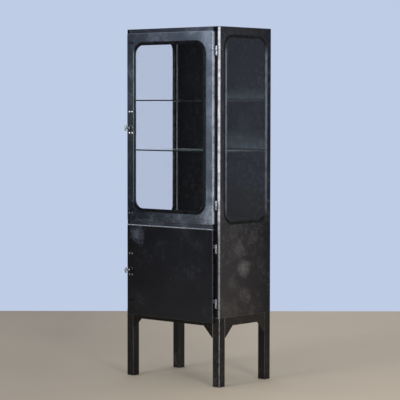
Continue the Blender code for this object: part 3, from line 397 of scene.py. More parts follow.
        # Painted shade: the stile's flat part beside the door is painted dark, for the shade in the gap
        stile = add('Math', (front, full), operation='SUBTRACT')[0]
        layers.append((stile, "#14171e"))
    if bright_side:
        others.append(add('MapRange', (facing[0], 0.88, 0.99, 0.0, bright_side))[0])
    for other in others:
        worn = add('Math', (worn, other), operation='MAXIMUM')[0]
    worn = add('Math', (worn, ragged), operation='MULTIPLY')[0]
    layers.append((worn, edge))
    tone = deep
    for share, colour in layers:
        tone = add('Mix', {0: share, 6: tone, 7: colour}, data_type='RGBA')[2]
    skin = add('Bump', {"Height": waves, "Strength": 1.0, "Distance": 0.0006})[0]
    skin = add('Bump', {"Height": grain, "Strength": 0.6, "Distance": 0.00008, "Normal": skin})[0]
    # Worn steel is scratched in every direction and looks pale from any side
    bare = add('MapRange', (worn, 0.0, 1.0, 1.0, 0.35))[0]
    shader = add('BsdfPrincipled', {
        "Base Color": tone, "Metallic": bare, "Roughness": dull, "Normal": skin,
        "Coat Weight": coat, "Coat Roughness": 0.22, "Coat IOR": 1.5,
    })[0]
    add('OutputMaterial', {"Surface": shader})
    return made


def copy_of(piece, name, shift):
    """A copy of a finished shape with its own mesh, moved to another place."""
    put_down()
    made = piece.copy()
    made.data = piece.data.copy()
    made.data.transform(Matrix.Translation(Vector(shift)))
    made.name = name
    scene.collection.objects.link(made)
    return made


leg_steel = blackened_steel("blackened_steel_legs", "#262526", "#3c3a39", wear=0.08)
worn_leg_steel = blackened_steel("worn_steel_front_leg", "#2a2929", "#403e3c", wear=0.5)
low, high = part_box("leg_front_left")
leg = block("leg_tube_front_left", low, high)
round_edges(leg, 2, LEG_CORNER, 6)
pick(leg, 'FACE', lambda f: abs(f.normal.z) > 0.9)
bpy.ops.mesh.delete(type='FACE')
modify(leg, 'SOLIDIFY', thickness=LEG_WALL, offset=-1.0, use_even_offset=True)
for corner in OTHER_CORNERS:
    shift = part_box("leg_" + corner)[0] - low
    steel = worn_leg_steel if corner == "front_right" else leg_steel
    settle(copy_of(leg, "leg_tube_" + corner, shift), steel, "lacquered_steel", "cabinet", "leg_" + corner)
settle(leg, leg_steel, "lacquered_steel", "cabinet", "leg_front_left")


# ---- The rubber feet ----
# A moulded black rubber plug pressed into each tube, with a flange that the leg stands on.
# Age has brought a grey bloom to it.
FOOT_FLANGE = 0.003
FOOT_PLUG_INSET = 0.0023


def black_rubber(name, deep, bloom, dull=0.30, shine=0.2, painted_sheen=None, painted_sheen_slopes=(), middle=0.0):
    """Moulded or extruded black rubber: soft satin, with a grey bloom that age brings to its
    surface in patches. A painted sheen, pale like a highlight on the crown, lies where every slope
    (axis, start, end, least) lets it, alike on both sides of the middle, along Y."""
    made, add, place = start_finish(name)
    patches = add('TexNoise', {"Vector": place, "Scale": 1000 / 45, "Detail": 4.0})[0]
    share = add('MapRange', (patches, 0.38, 0.66))[0]
    tone = add('Mix', {0: share, 6: deep, 7: bloom}, data_type='RGBA')[2]
    if painted_sheen_slopes:
        # Painted sheen: a pale highlight painted along the crown's stretches
        axes = add('VectorMath', (place, (0.0, middle, 0.0)), operation='SUBTRACT')[0]
        axes = add('VectorMath', (axes,), operation='ABSOLUTE')[0]
        axes = add('SeparateXYZ', (axes,))
        share = add('MapRange', (patches, 0.3, 0.6, 0.6))[0]
        for axis, start, end, least in painted_sheen_slopes:
            slope = add('MapRange', (axes[axis], start, end, least))[0]
            share = add('Math', (share, slope), operation='MULTIPLY')[0]
        tone = add('Mix', {0: share, 6: tone, 7: painted_sheen}, data_type='RGBA')[2]
    rough = add('MapRange', (patches, 0.3, 0.7, dull - 0.10, dull + 0.10))[0]
    pores = add('TexNoise', {"Vector": place, "Scale": 1000 / 1.2, "Detail": 1.0})[0]
    skin = add('Bump', {"Height": pores, "Strength": 0.4, "Distance": 0.00005})[0]
    shader = add('BsdfPrincipled', {
        "Base Color": tone, "Roughness": rough, "IOR": 1.52, "Specular IOR Level": shine, "Normal": skin,
    })[0]
    add('OutputMaterial', {"Surface": shader})
    return made


def pull(by):
    """Extrudes what is selected by a step."""
    bpy.ops.mesh.extrude_region_move(TRANSFORM_OT_translate={"value": Vector(by)})


foot_rubber = black_rubber("moulded_rubber_feet", "#131417", "#2a2d33", dull=0.55, shine=0.5)
low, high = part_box("foot_front_left")
foot = block("foot_plug_front_left", low, (high.x, high.y, low.z + FOOT_FLANGE))
round_edges(foot, 2, LEG_CORNER, 6)
pick(foot, 'FACE', lambda f: f.normal.z > 0.9)
bpy.ops.mesh.inset(thickness=FOOT_PLUG_INSET)
pull((0.0, 0.0, high.z - low.z - FOOT_FLANGE))
for corner in OTHER_CORNERS:
    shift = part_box("foot_" + corner)[0] - low
    settle(copy_of(foot, "foot_plug_" + corner, shift), foot_rubber, "black_rubber", "cabinet",
           "foot_" + corner)
settle(foot, foot_rubber, "black_rubber", "cabinet", "foot_front_left")


# ---- The aprons ----
# Strips of 2 mm sheet between the legs, cut with a sloping gusset at both ends, with the lower
# edge turned in for stiffness. They are welded to the legs and ground flush.
APRON_THICKNESS = 0.002
APRON_HEIGHT = 0.042
APRON_LIP = 0.012
GUSSET_RUN = 0.057
GUSSET_FOOT = 0.003


def draw(name, points, filled=True):
    """Draws a closed outline from place to place, as a piece in edit mode, and fills it."""
    put_down()
    bpy.ops.mesh.primitive_plane_add(size=0.01)
    made = bpy.context.object
    made.name = name
    bpy.ops.object.mode_set(mode='EDIT')
    bpy.ops.mesh.select_mode(type='VERT')
    bpy.ops.mesh.select_all(action='SELECT')
    bpy.ops.mesh.merge(type='CENTER')
    bpy.ops.transform.translate(value=Vector(points[0]))
    for start, end in zip(points, points[1:]):
        bpy.ops.mesh.extrude_vertices_move(TRANSFORM_OT_translate={"value": Vector(end) - Vector(start)})
    bpy.ops.mesh.select_all(action='SELECT')
    bpy.ops.mesh.edge_face_add()
    if not filled:
        bpy.ops.mesh.delete(type='ONLY_FACE')
    return made


def close_up():
    """In edit mode, merges doubles and turns the faces outwards."""
    bpy.ops.mesh.select_all(action='SELECT')
    bpy.ops.mesh.remove_doubles(threshold=0.00001)
    bpy.ops.mesh.normals_make_consistent(inside=False)


# Painted shade: the front and back aprons, under the doors' overhang, are a darker copy of the end aprons'
# steel
shaded_apron_steel = blackened_steel("blackened_steel_aprons", "#1a1918", "#2a2826", wear=0.0)
end_steel = blackened_steel("blackened_steel_end_aprons", "#33302f", "#4b4845", wear=0.08)
AXES = Matrix.Identity(3)
# Each apron's name, the axis along it, the axis through its sheet, and which way is inwards
APRONS = (("front", 0, 1, 1), ("back", 0, 1, -1), ("left", 1, 0, 1), ("right", 1, 0, -1))
for name, along, through, inward in APRONS:
    low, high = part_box("apron_" + name)
    face = low[through] if inward > 0 else high[through]
    start, end = low[along], high[along]
    lip_start, lip_end = start + GUSSET_RUN, end - GUSSET_RUN
    edge = high.z - APRON_HEIGHT
    outline = [
        (start, high.z), (start, low.z), (start + GUSSET_FOOT, low.z), (lip_start, edge),
        (lip_end, edge), (end - GUSSET_FOOT, low.z), (end, low.z), (end, high.z),
    ]
    apron = draw("apron_plate_" + name, [(a, face, b) if along == 0 else (face, a, b) for a, b in outline])
    pull(AXES[through] * inward * APRON_THICKNESS)
    close_up()
    lip_top = edge + APRON_THICKNESS
    for axis, where in ((along, lip_start), (along, lip_end), (2, lip_top)):
        bpy.ops.mesh.select_all(action='SELECT')
        bpy.ops.mesh.bisect(plane_co=AXES[axis] * where, plane_no=AXES[axis])
    pick(apron, 'FACE', lambda f: f.normal[through] * inward > 0.9 and edge < centre_of(f).z < lip_top
         and lip_start < centre_of(f)[along] < lip_end)
    pull(AXES[through] * inward * (APRON_LIP - APRON_THICKNESS))
    settle(apron, end_steel if along else shaded_apron_steel, "lacquered_steel", "cabinet", "apron_" + name)


# ---- The side sheets ----
# 1.5 mm sheet folded round the front corner into the stile beside the door and round the back
# corner into a flange, in two lengths with a butt seam just under the deck. The upper length
# is cut out for the window. The rolled front corner is rubbed bright from top to bottom.
SHEET = 0.0015
GRIP_GAP = 0.0003
FRONT_BEND = 0.008
BACK_BEND = 0.003
BACK_FLANGE = 0.015
SHEET_GRIP = 0.0075
WINDOW_RADIUS = 0.064
SIDE_WINDOW = ((-0.13245, 0.19505), (0.7890, 1.7153))
TOOL_REACH = 0.010

# Painted light and shade: the sides grow paler towards the front, darker towards the back and the top, and the
# stile beside the door is dark; their brown tint is partly a painted reflection of the warm floor
side_steel = blackened_steel(
    "blackened_steel_sides", "#353234", "#63605f", wear=1.0, cloud=0.6, rub=0.7, edge="#cdd2dc", bends=0.10,
    painted_light_drifts=((1, 0.15, -0.16, 0.50),), shades=((1, 0.12, 0.20, 0.7, "#1d1e24"), (2, 1.66, 1.70, 0.5, "#2a292d")),
    patches=(((0.31, 0.02, 0.560), 0.05, 0.8), ((0.31, -0.03, 0.665), 0.055, 0.45),
             ((0.31, -0.07, 0.50), 0.05, 0.3), ((0.31, 0.03, 0.44), 0.05, 0.25)),
    wear_and_light_tone="#a29c9b", rims=((2, 0.3373, 0.003, 0.10),),
    front_corner=(-0.1605, 0.2968, 0.2985, 0.3032, 0.35),
)


def arc(centre, radius, start, end, steps):
    """Points along an arc, angles in quarter turns."""
    turns = [math.pi / 2 * (start + (end - start) * i / steps) for i in range(steps + 1)]
    return [(centre[0] + radius * math.cos(t), centre[1] + radius * math.sin(t)) for t in turns]


def window_tool(axis, across, heights, inset, low, high):
    """A block with rounded corners that cuts a window's opening: it runs along an axis, 0 or 1."""
    a, b = across[0] + inset, across[1] - inset
    c, d = heights[0] + inset, heights[1] - inset
    if axis == 0:
        tool = block("window_tool", (low, a, c), (high, b, d))
    else:
        tool = block("window_tool", (a, low, c), (b, high, d))
    round_edges(tool, axis, WINDOW_RADIUS - inset, 16)
    return tool


for side, sign in (("left", -1), ("right", 1)):
    low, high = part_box(side + "_side_upper")
    stile, x = sorted((abs(low.x), abs(high.x)))
    front, back = low.y, high.y
    front_centre = (x - FRONT_BEND, front + FRONT_BEND)
    back_centre = (x - BACK_BEND, back - BACK_BEND)
    plan = [(stile, front)]
    plan += arc(front_centre, FRONT_BEND, -1, 0, 10)
    plan += arc(back_centre, BACK_BEND, 0, 1, 5)
    plan += [(x - BACK_FLANGE, back), (x - BACK_FLANGE, back - SHEET)]
    plan += arc(back_centre, BACK_BEND - SHEET, 1, 0, 5)
    plan += arc(front_centre, FRONT_BEND - SHEET, 0, -1, 10)
    plan += [(stile, front + SHEET)]
    for length in ("lower", "upper"):
        node = side + "_side_" + length
        low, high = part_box(node)
        sheet = draw(node.replace("side", "sheet"), [(sign * a, b, low.z) for a, b in plan])
        pull((0.0, 0.0, high.z - low.z))
        close_up()
        if length == "upper":
            ends = sorted((sign * (x - TOOL_REACH), sign * (x + TOOL_REACH)))
            cut(sheet, window_tool(0, *SIDE_WINDOW, SHEET_GRIP - GRIP_GAP, *ends))
        settle(sheet, side_steel, "lacquered_steel", "cabinet", node)


# ---- The level sheets, the back and the rails ----
# The top, deck, floor and back are plain sheets spot welded inside the folded sides, and two
# channels cross the front above and between the doors. The lock rods shoot into slots in them.
LOCK_X = -0.270
ROD_FRONT = -0.15995
ROD_BACK = -0.15495
ROD_SLOT_HALF = 0.0052
ROD_SLOT_GAP = 0.0012

# Painted light: the carcass steel grows paler to the right, a painted reflection; its blue tint is partly a
# painted reflection of the blue wall
carcass_steel = blackened_steel("blackened_steel_carcass", "#474b56", "#747b8c", wear=0.1, cloud=0.5,
                                painted_light_drifts=((0, -0.2, 0.3, 0.4),))
low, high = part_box("top_panel")
top = block("top_sheet", low, high)
round_edges(top, 2, FRONT_BEND, 10, lambda e: centre_of(e).y < 0)
round_edges(top, 2, BACK_BEND, 5, lambda e: centre_of(e).y > 0)
settle(top, carcass_steel, "lacquered_steel", "cabinet", "top_panel")


def lock_block(name, half, depths, heights):
    """A block that lies evenly to both sides of the locks' upright axis."""
    return block(name, (LOCK_X - half, depths[0], heights[0]), (LOCK_X + half, depths[1], heights[1]))


for name in ("top_rail", "middle_rail"):
    low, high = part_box(name)
    section = [
        (low.y, low.z), (high.y, low.z), (high.y, low.z + SHEET), (low.y + SHEET, low.z + SHEET),
        (low.y + SHEET, high.z - SHEET), (high.y, high.z - SHEET), (high.y, high.z), (low.y, high.z),
    ]
    rail = draw(name + "_channel", [(low.x, a, b) for a, b in section])
    pull((high.x - low.x, 0.0, 0.0))
    close_up()
    # Only the lower flange of the top rail is slotted, and both flanges of the middle rail
    slot_top = low.z + 2 * SHEET if name == "top_rail" else high.z + SHEET
    cut(rail, lock_block("rod_slot", ROD_SLOT_HALF, (ROD_FRONT - ROD_SLOT_GAP, ROD_BACK + ROD_SLOT_GAP),
                         (low.z - SHEET, slot_top)))
    settle(rail, carcass_steel, "lacquered_steel", "cabinet", name)


def dress(finish, *nodes):
    """Gives a finish to pieces of the frame whose shape is already right."""
    for node in nodes:
        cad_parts[node].data.materials.clear()
        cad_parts[node].data.materials.append(finish)


# Painted light: pale bands on the back just above each shelf, the light that the glass shelves throw there
inside_steel = blackened_steel(
    "blackened_steel_inside", "#1b1c20", "#2b2d33", wear=0.5, cloud=0.5, rub=0.35, wear_and_light_tone="#808e97",
    painted_light_bands=((1.153, 0.11), (1.403, 0.062)),
)
dress(inside_steel, "back_panel", "bottom_panel", "middle_deck")


# ---- The shelf strips ----
# Notched strips of bare steel stand in the four corners, and sheet steel clips hooked into
# them carry the glass shelves. They are painted white and matt, a painted highlight for their
# bright steel, with a little grime, and painted dark past their lit edge, as painted shade.
SIDE_MIDDLE = 0.03125
STRIP_SHADE_FROM = 0.1812


def bright_steel(name, clean, grimy, gloss=0.34, metal=1.0, painted_shade_from=None):
    """Rolled steel left bare and rubbed with an oily rag: grey and bright, browner where dirt
    stays. Past a distance from the sides' middle, along Y, it is painted dark, as painted shade."""
    made, add, place = start_finish(name)
    dirt = add('TexNoise', {"Vector": place, "Scale": 1000 / 9, "Detail": 5.0, "Roughness": 0.6})[0]
    share = add('MapRange', (dirt, 0.46, 0.68, 0.0, 0.8))[0]
    tone = add('Mix', {0: share, 6: clean, 7: grimy}, data_type='RGBA')[2]
    if painted_shade_from:
        off = add('SeparateXYZ', (place,))[1]
        off = add('Math', (off, SIDE_MIDDLE), operation='SUBTRACT')[0]
        off = add('Math', (off,), operation='ABSOLUTE')[0]
        off = add('MapRange', (off, painted_shade_from, painted_shade_from + 0.001))[0]
        tone = add('Mix', {0: off, 6: tone, 7: "#2a2b2e"}, data_type='RGBA')[2]
    dull = add('MapRange', (dirt, 0.3, 0.8, gloss - 0.08, gloss + 0.2))[0]
    grain = add('TexNoise', {"Vector": place, "Scale": 1000 / 0.8, "Detail": 1.0})[0]
    skin = add('Bump', {"Height": grain, "Strength": 0.4, "Distance": 0.00003})[0]
    shader = add('BsdfPrincipled', {
        "Base Color": tone, "Metallic": metal, "Roughness": dull, "Normal": skin,
    })[0]
    add('OutputMaterial', {"Surface": shader})
    return made


# Painted highlight: white and matt, for the strips' glint; painted shade near the back panel and the front
painted_highlight_strip_steel = bright_steel("bare_steel_strips", "#f2f4fa", "#c4c7ce", gloss=0.45, metal=0.0,
                           painted_shade_from=STRIP_SHADE_FROM)
dress(painted_highlight_strip_steel, *["shelf_strip_" + corner for corner in ("front_left", *OTHER_CORNERS)])


# ---- The glass shelves ----
# Two plates of 6 mm float glass with ground edges, laid on the clips. They are clear through the
# plate, but green along the edges, where one looks through the whole depth of the glass.
GROUND_EDGE = 0.0008


def float_glass(name, body, density, ior=1.52, dust=0.0):
    """Float glass: clear and mirror smooth, faintly smeared, with a little green in its body."""
    made, add, place = start_finish(name)
    smears = add('TexNoise', {"Vector": place, "Scale": 1000 / 60, "Detail": 4.0, "Distortion": 0.6})[0]
    film = add('MapRange', (smears, 0.45, 0.75, 0.0, 0.035))[0]
    shader = add('BsdfPrincipled', {
        "Base Color": "#ffffff", "Roughness": film, "IOR": ior, "Transmission Weight": 1.0,
        "Sheen Weight": dust, "Sheen Roughness": 0.4, "Sheen Tint": "#c9dfe0",
    })[0]
    green = add('VolumeAbsorption', {"Color": body, "Density": density})[0]
    add('OutputMaterial', {"Surface": shader, "Volume": green})
    return made


shelf_glass = float_glass("float_glass_shelves", "#4fc3b4", 60.0, dust=0.35)
for name in ("lower_shelf", "upper_shelf"):
    low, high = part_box(name)
    settle(block(name + "_plate", low, high), shelf_glass, "shelf_glass", "cabinet", name, edge=GROUND_EDGE)


# ---- The window rubbers ----
# Extruded black rubber of H section is pressed over the sheet's edge all round each opening,
# and the pane is pressed into the rubber's inner groove. It bends round the four corners.
GASKET_DEPTH = 0.009
GASKET_WEB = 0.003
GLASS_GRIP = 0.007
GLASS_THICKNESS = 0.004
LIP_POINT = (0.0006, 0.0012)
CROWN_SPRING = math.pi * 0.14
CROWN_WIDTH = 0.98
CROWN_SHOULDER = 0.62
CROWN_STEPS = 8
CORNER_STEPS = 20
DOOR_WINDOW = ((-0.2524, 0.2334), (0.8365, 1.6854))


def rubber_section():
    """The rubber's section as (distance in from its outer edge, distance from the sheet's middle):
    a rounded crown on both faces, with a fine groove near its outer edge, and the two grooves
    that hold the sheet and the glass."""
    web = SHEET_GRIP + GASKET_WEB
    width = web + GLASS_GRIP
    sheet, glass = SHEET / 2 + GRIP_GAP, GLASS_THICKNESS / 2 + GRIP_GAP
    crown = [(0.0, sheet), (LIP_POINT[0], sheet + LIP_POINT[1])]
    for i in range(CROWN_STEPS + 1):
        turn = math.pi - CROWN_SPRING - (math.pi - 2 * CROWN_SPRING) * i / CROWN_STEPS
        rise = (math.sin(turn) - math.sin(CROWN_SPRING)) / (1 - math.sin(CROWN_SPRING))
        crown.append((width / 2 * (1 + CROWN_WIDTH * math.cos(turn) / math.cos(CROWN_SPRING)),
                      GASKET_DEPTH / 2 * (CROWN_SHOULDER + (1 - CROWN_SHOULDER) * rise)))
    crown.sort()
    crown += [(width, glass)]
    other = [(a, -b) for a, b in reversed(crown)]
    return crown + [(web, glass), (web, -glass)] + other + [(SHEET_GRIP, -sheet), (SHEET_GRIP, sheet)]


def rubber_ring(name, across, heights, axis, centre):
    """Bends the rubber's section round a window that faces along an axis, 0 or 1."""
    r = WINDOW_RADIUS
    left, right = across[0] + r, across[1] - r
    bottom, top = heights[0] + r, heights[1] - r

    def place(a, b, z):
        return Vector((centre + b, a, z)) if axis == 0 else Vector((a, centre + b, z))

    ring = draw(name, [place(across[1] - inset, off, bottom) for inset, off in rubber_section()], filled=False)
    bpy.ops.mesh.select_mode(type='EDGE')
    bpy.ops.mesh.select_all(action='SELECT')
    angle = math.pi / 2 if axis == 1 else -math.pi / 2
    origin = place(0.0, 0.0, 0.0)
    # Up the right side, along the top, down the left side and back along the bottom
    for run, rise, a, z in ((0.0, top - bottom, right, top), (left - right, 0.0, left, top),
                            (0.0, bottom - top, left, bottom), (right - left, 0.0, right, bottom)):
        pull(place(run, 0.0, rise) - origin)
        bpy.ops.mesh.spin(steps=CORNER_STEPS, angle=angle, center=place(a, 0.0, z),
                          axis=place(0.0, 1.0, 0.0) - origin)
    close_up()
    return ring


# Painted sheen: pale highlights painted on the rubbers' crowns, along the side windows' upright stretches and
# the door window's left one
side_rubber = black_rubber(
    "extruded_rubber_side_windows", "#08090b", "#14161a", painted_sheen="#6f7788", middle=SIDE_MIDDLE,
    painted_sheen_slopes=((1, 0.161, 0.158, 0.0), (2, 0.82, 0.86, 0.0), (2, 0.86, 1.25, 0.55), (2, 1.67, 1.62, 0.0)),
)
door_rubber = black_rubber("extruded_rubber_door", "#06080c", "#10131a", painted_sheen="#7b8995",
                           painted_sheen_slopes=((0, 0.2425, 0.2455, 0.0), (2, 0.85, 1.50, 0.3)))
for side in ("left", "right"):
    node = side + "_window_gasket"
    low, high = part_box(node)
    ring = rubber_ring(side + "_window_rubber", *SIDE_WINDOW, 0, (low.x + high.x) / 2)
    settle(ring, side_rubber, "black_rubber", "cabinet", node, edge=0.0)
low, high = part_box("upper_door_gasket")
ring = rubber_ring("upper_door_rubber", *DOOR_WINDOW, 1, (low.y + high.y) / 2)
settle(ring, door_rubber, "black_rubber", "upper_door", "upper_door_gasket", edge=0.0)


# ---- The panes ----
# Three panes of 4 mm float glass, cut to the openings' rounded shape. Their rims lie in the
# rubber, so the frame's own shapes are kept.
pane_glass = float_glass("float_glass_panes", "#aee6e8", 1.4, ior=1.47)
dress(pane_glass, "left_window_glass", "right_window_glass", "upper_door_glass")


# ---- The doors ----
# Each door is a pan: one sheet with its edges folded back and turned in again at the rear.
# Hands have rubbed its edges bright. The upper one is cut out for its window.
DOOR_CORNER = 0.007
DOOR_FOLD = 0.003
DOOR_LIP = 0.008
SPINDLE_HOLE = 0.0039
LOCK_HEIGHTS = {"upper_door": 1.255, "lower_door": 0.540}


def bore(piece, y, z, depth):
    """Drills the hole for a lock's spindle, along Y, to as deep on both sides of a place."""
    put_down()
    bpy.ops.mesh.primitive_cylinder_add(vertices=32, radius=SPINDLE_HOLE, depth=2 * depth,
                                        location=(LOCK_X, y, z), rotation=(math.pi / 2, 0.0, 0.0))
    cut(piece, bpy.context.object)


# Painted light: this door grows paler to the right and upwards, a painted reflection, and darker over its
# bottom rail, painted shade; its blue tint is partly a painted reflection of the blue wall
upper_steel = blackened_steel(
    "blackened_steel_upper_door", "#292e38", "#98a6b9", wear=1.0, cloud=0.6, rubbed="#8a929c",
    edge="#f2f6ff", bends=0.06, bright_side=1.0,
    painted_light_drifts=((0, -0.27, 0.27, 0.60), (2, 0.80, 1.30, 0.23)), shades=((2, 0.86, 0.83, 0.2, "#1d2129"),),
    patches=(((0.235, -0.179, 1.688), 0.06, 0.6), ((0.235, -0.179, 0.822), 0.08, 0.95)), wear_and_light_tone="#bac6d6",
)
# Painted light: this door grows paler from its left edge to the middle, and the rim along its top edge is a
# painted highlight as well as wear
lower_steel = blackened_steel(
    "blackened_steel_lower_door", "#26282e", "#3b3e46", wear=0.9, rub=0.06, gloss=0.36,
    bends=0.08, bright_side=0.22, painted_light_drifts=((0, -0.27, 0.05, 0.4),),
    patches=(((-0.228, -0.179, 0.728), 0.06, 1.0),), wear_and_light_tone="#8e9aab",
    rims=((0, 0.277, 0.003, 0.12), (2, 0.770, 0.0055, 1.0), (2, 0.312, 0.003, 0.1)),
)
for name, steel in (("upper_door", upper_steel), ("lower_door", lower_steel)):
    low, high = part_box(name + "_panel")
    door = block(name + "_pan", low, high)
    round_edges(door, 1, DOOR_CORNER, 10)
    pick(door, 'FACE', lambda f: f.normal.y < -0.9)
    bpy.ops.mesh.region_to_loop()
    bpy.ops.mesh.bevel(offset=DOOR_FOLD, segments=5)
    pick(door, 'FACE', lambda f: f.normal.y > 0.9)
    bpy.ops.mesh.inset(thickness=DOOR_LIP)
    bpy.ops.mesh.delete(type='FACE')
    modify(door, 'SOLIDIFY', thickness=SHEET, offset=-1.0, use_even_offset=True)
    if name == "upper_door":
        cut(door, window_tool(1, *DOOR_WINDOW, SHEET_GRIP - GRIP_GAP, low.y - TOOL_REACH,
                              low.y + TOOL_REACH / 2))
    bore(door, low.y, LOCK_HEIGHTS[name], TOOL_REACH / 2)
    settle(door, steel, "lacquered_steel", name, name + "_panel", edge=0.0003)


# ---- The hinges ----
# Lift-off hinges turned from bright bar: the lower knuckle with its pin is welded to the
# carcass, and the upper knuckle, welded to the door's edge, drops over the pin.
HINGE_AXIS = (0.296, -0.17345)
HINGES = (("upper_door", "top", 1.633), ("upper_door", "bottom", 0.886),
          ("lower_door", "top", 0.674), ("lower_door", "bottom", 0.408))
HALF_HEIGHT = 0.0238
KNUCKLE = 0.006
BULGE = 0.0028
CHAMFER = 0.0004
WASHER_GAP = 0.0005
PIN = 0.003
PIN_LENGTH = 0.018
PIN_POINT = (0.001, 0.002)
PIN_END_GAP = 0.0006
BORE = 0.00335
LEAF = 0.003
LEAF_HEIGHT = 0.018
LEAF_BITE = 0.0013
PAD = 0.002
FRAME_PAD = (-0.012, 0.006)
STILE_FACE = -0.16625
DOOR_EDGE = 0.2773
DOOR_PAD = (-0.17605, -0.16655)


def turned(name, axis, centre, profile, steps=40):
    """Turns a profile of (radius, height along the axis) about an axis, 1 for Y or 2 for Z."""
    def place(radius, along):
        if axis == 1:
            return Vector((centre[0] + radius, along, centre[1]))
        return Vector((centre[0] + radius, centre[1], along))

    made = draw(name, [place(*p) for p in profile], filled=False)
    pick(made, 'EDGE', lambda e: any(abs(v.co.x - centre[0]) >= 1e-7 for v in e.verts))
    bpy.ops.mesh.spin(steps=steps, angle=2 * math.pi, center=place(0.0, 0.0), axis=AXES[axis])
    close_up()
    bpy.ops.mesh.delete_loose()
    return made


def rounded_end(radius, along, bulge, steps=5):
    """The quarter round of a turned end: from the full radius in to the axis."""
    turns = [math.pi / 2 * i / steps for i in range(steps + 1)]
    return [(radius * math.cos(t), along + bulge * math.sin(t)) for t in turns]


def leaf_plate(name, outline, height):
    """A hinge's leaf: an outline seen from above, drawn up from a height."""
    made = draw(name, [(x, y, height) for x, y in outline])
    pull((0.0, 0.0, LEAF_HEIGHT))
    close_up()
    return made


hinge_steel = bright_steel("bright_steel_hinges", "#a3a6ab", "#55575b", gloss=0.26)
# The two halves are made once, at the uppermost hinge
made_at = HINGES[0][2]
lower_end, upper_end = made_at - HALF_HEIGHT + BULGE, made_at + HALF_HEIGHT - BULGE
lower_face, upper_face = made_at - WASHER_GAP / 2, made_at + WASHER_GAP / 2
pin_end = made_at + PIN_LENGTH
bore_end = pin_end + PIN_END_GAP
frame_knuckle = turned("frame_knuckle", 2, HINGE_AXIS, [
    *reversed(rounded_end(KNUCKLE, lower_end, -BULGE)),
    (KNUCKLE, lower_face - CHAMFER), (KNUCKLE - CHAMFER, lower_face), (PIN, lower_face),
    (PIN, pin_end - PIN_POINT[1]), (PIN - PIN_POINT[0], pin_end), (0.0, pin_end),
])
door_knuckle = turned("door_knuckle", 2, HINGE_AXIS, [
    (0.0, bore_end), (BORE, bore_end), (BORE, upper_face), (KNUCKLE - CHAMFER, upper_face),
    (KNUCKLE, upper_face + CHAMFER), *rounded_end(KNUCKLE, upper_end, BULGE),
])
x, y = HINGE_AXIS
web = x - KNUCKLE + LEAF / 2
pad_face = STILE_FACE - PAD
frame_leaf = leaf_plate("frame_leaf", [
    (web, y), (x, y), (x, pad_face), (x + FRAME_PAD[1], pad_face), (x + FRAME_PAD[1], STILE_FACE),
    (x + FRAME_PAD[0], STILE_FACE), (x + FRAME_PAD[0], pad_face), (web, pad_face),
], lower_end)
pad_edge = DOOR_EDGE + PAD
leaf_end = x - KNUCKLE + LEAF_BITE
door_leaf = leaf_plate("door_leaf", [
    (DOOR_EDGE, DOOR_PAD[0]), (pad_edge, DOOR_PAD[0]), (pad_edge, y - LEAF / 2), (leaf_end, y - LEAF / 2),
    (leaf_end, y + LEAF / 2), (pad_edge, y + LEAF / 2), (pad_edge, DOOR_PAD[1]), (DOOR_EDGE, DOOR_PAD[1]),
], upper_end - LEAF_HEIGHT)
for door, place_name, height in HINGES:
    shift = (0.0, 0.0, height - made_at)
    for half, knuckle, leaf, body in (("frame", frame_knuckle, frame_leaf, "cabinet"),
                                      ("door", door_knuckle, door_leaf, door)):
        name = door + "_" + place_name + "_" + half
        settle(copy_of(knuckle, name + "_knuckle", shift), hinge_steel, "bright_steel", body,
               door + "_hinge_" + place_name + "_" + half + "_half", edge=0.0)
        settle(copy_of(leaf, name + "_leaf", shift), carcass_steel, "lacquered_steel", body, edge=0.0003)
for part in (frame_knuckle, door_knuckle, frame_leaf, door_leaf):
    bpy.data.objects.remove(part)


# ---- The rod locks ----
# On the inside of each door a folded case holds the pinion and its two racks, and two guides
# hold the flat rods. Domed, nickel plated screws through the door hold the case and the guides.
DOOR_FACE = -0.17905
CASE_FRONT = -0.17725
CASE_BACK = -0.15295
CASE_HALF = 0.01558
CASE_WALL = 0.0015
CASE_BASE = 0.0025
CASE_CORNER = 0.002
CASE_ENDS = (-0.0335, 0.091)
GUIDES = {"upper_door": (1.6825, 0.8275), "lower_door": (0.691, 0.389)}
GUIDE_HALF = 0.006
POST_HALF = 0.007
POST_ROOT = 0.001
POST_CAP = 0.003
WAY_HALF = 0.0045
WAY_GAP = 0.0005
SCREW_ROWS = (0.082, -0.0245)
SCREW_SPACING = 0.018
SCREW_HEAD = 0.0052
SCREW_DOME = 0.0034
SCREW_RIM = 0.0006
SCREW_SHANK = 0.0025
SCREW_BITE = 0.001
SLOT_HALF_WIDTH = 0.0004
SLOT_HALF_LENGTH = 0.006
SLOT_RISE = (0.006, 0.0028)


def nickel_plate(name, bright, dull, gloss=0.10, polished=None):
    """Nickel plate: a mirror that has gone a little cloudy, with pin holes of tarnish.
    In front of one place, along Y, fingers keep it polished."""
    made, add, place = start_finish(name)
    haze = add('TexNoise', {"Vector": place, "Scale": 1000 / 7, "Detail": 4.0})[0]
    pits = add('TexNoise', {"Vector": place, "Scale": 1000 / 1.1, "Detail": 1.0})[0]
    pits = add('MapRange', (pits, 0.66, 0.74, 0.0, 0.8))[0]
    share = add('MapRange', (haze, 0.5, 0.8, 0.0, 0.6))[0]
    share = add('Math', (share, pits), operation='MAXIMUM')[0]
    tone = add('Mix', {0: share, 6: bright, 7: dull}, data_type='RGBA')[2]
    if polished:
        front = add('SeparateXYZ', (place,))[1]
        front = add('MapRange', (front, polished, polished - 0.003))[0]
        tone = add('Mix', {0: front, 6: tone, 7: "#d3d7de"}, data_type='RGBA')[2]
    cloudy = add('MapRange', (haze, 0.3, 0.8, gloss, gloss + 0.14))[0]
    shader = add('BsdfPrincipled', {"Base Color": tone, "Metallic": 1.0, "Roughness": cloudy})[0]
    add('OutputMaterial', {"Surface": shader})
    return made


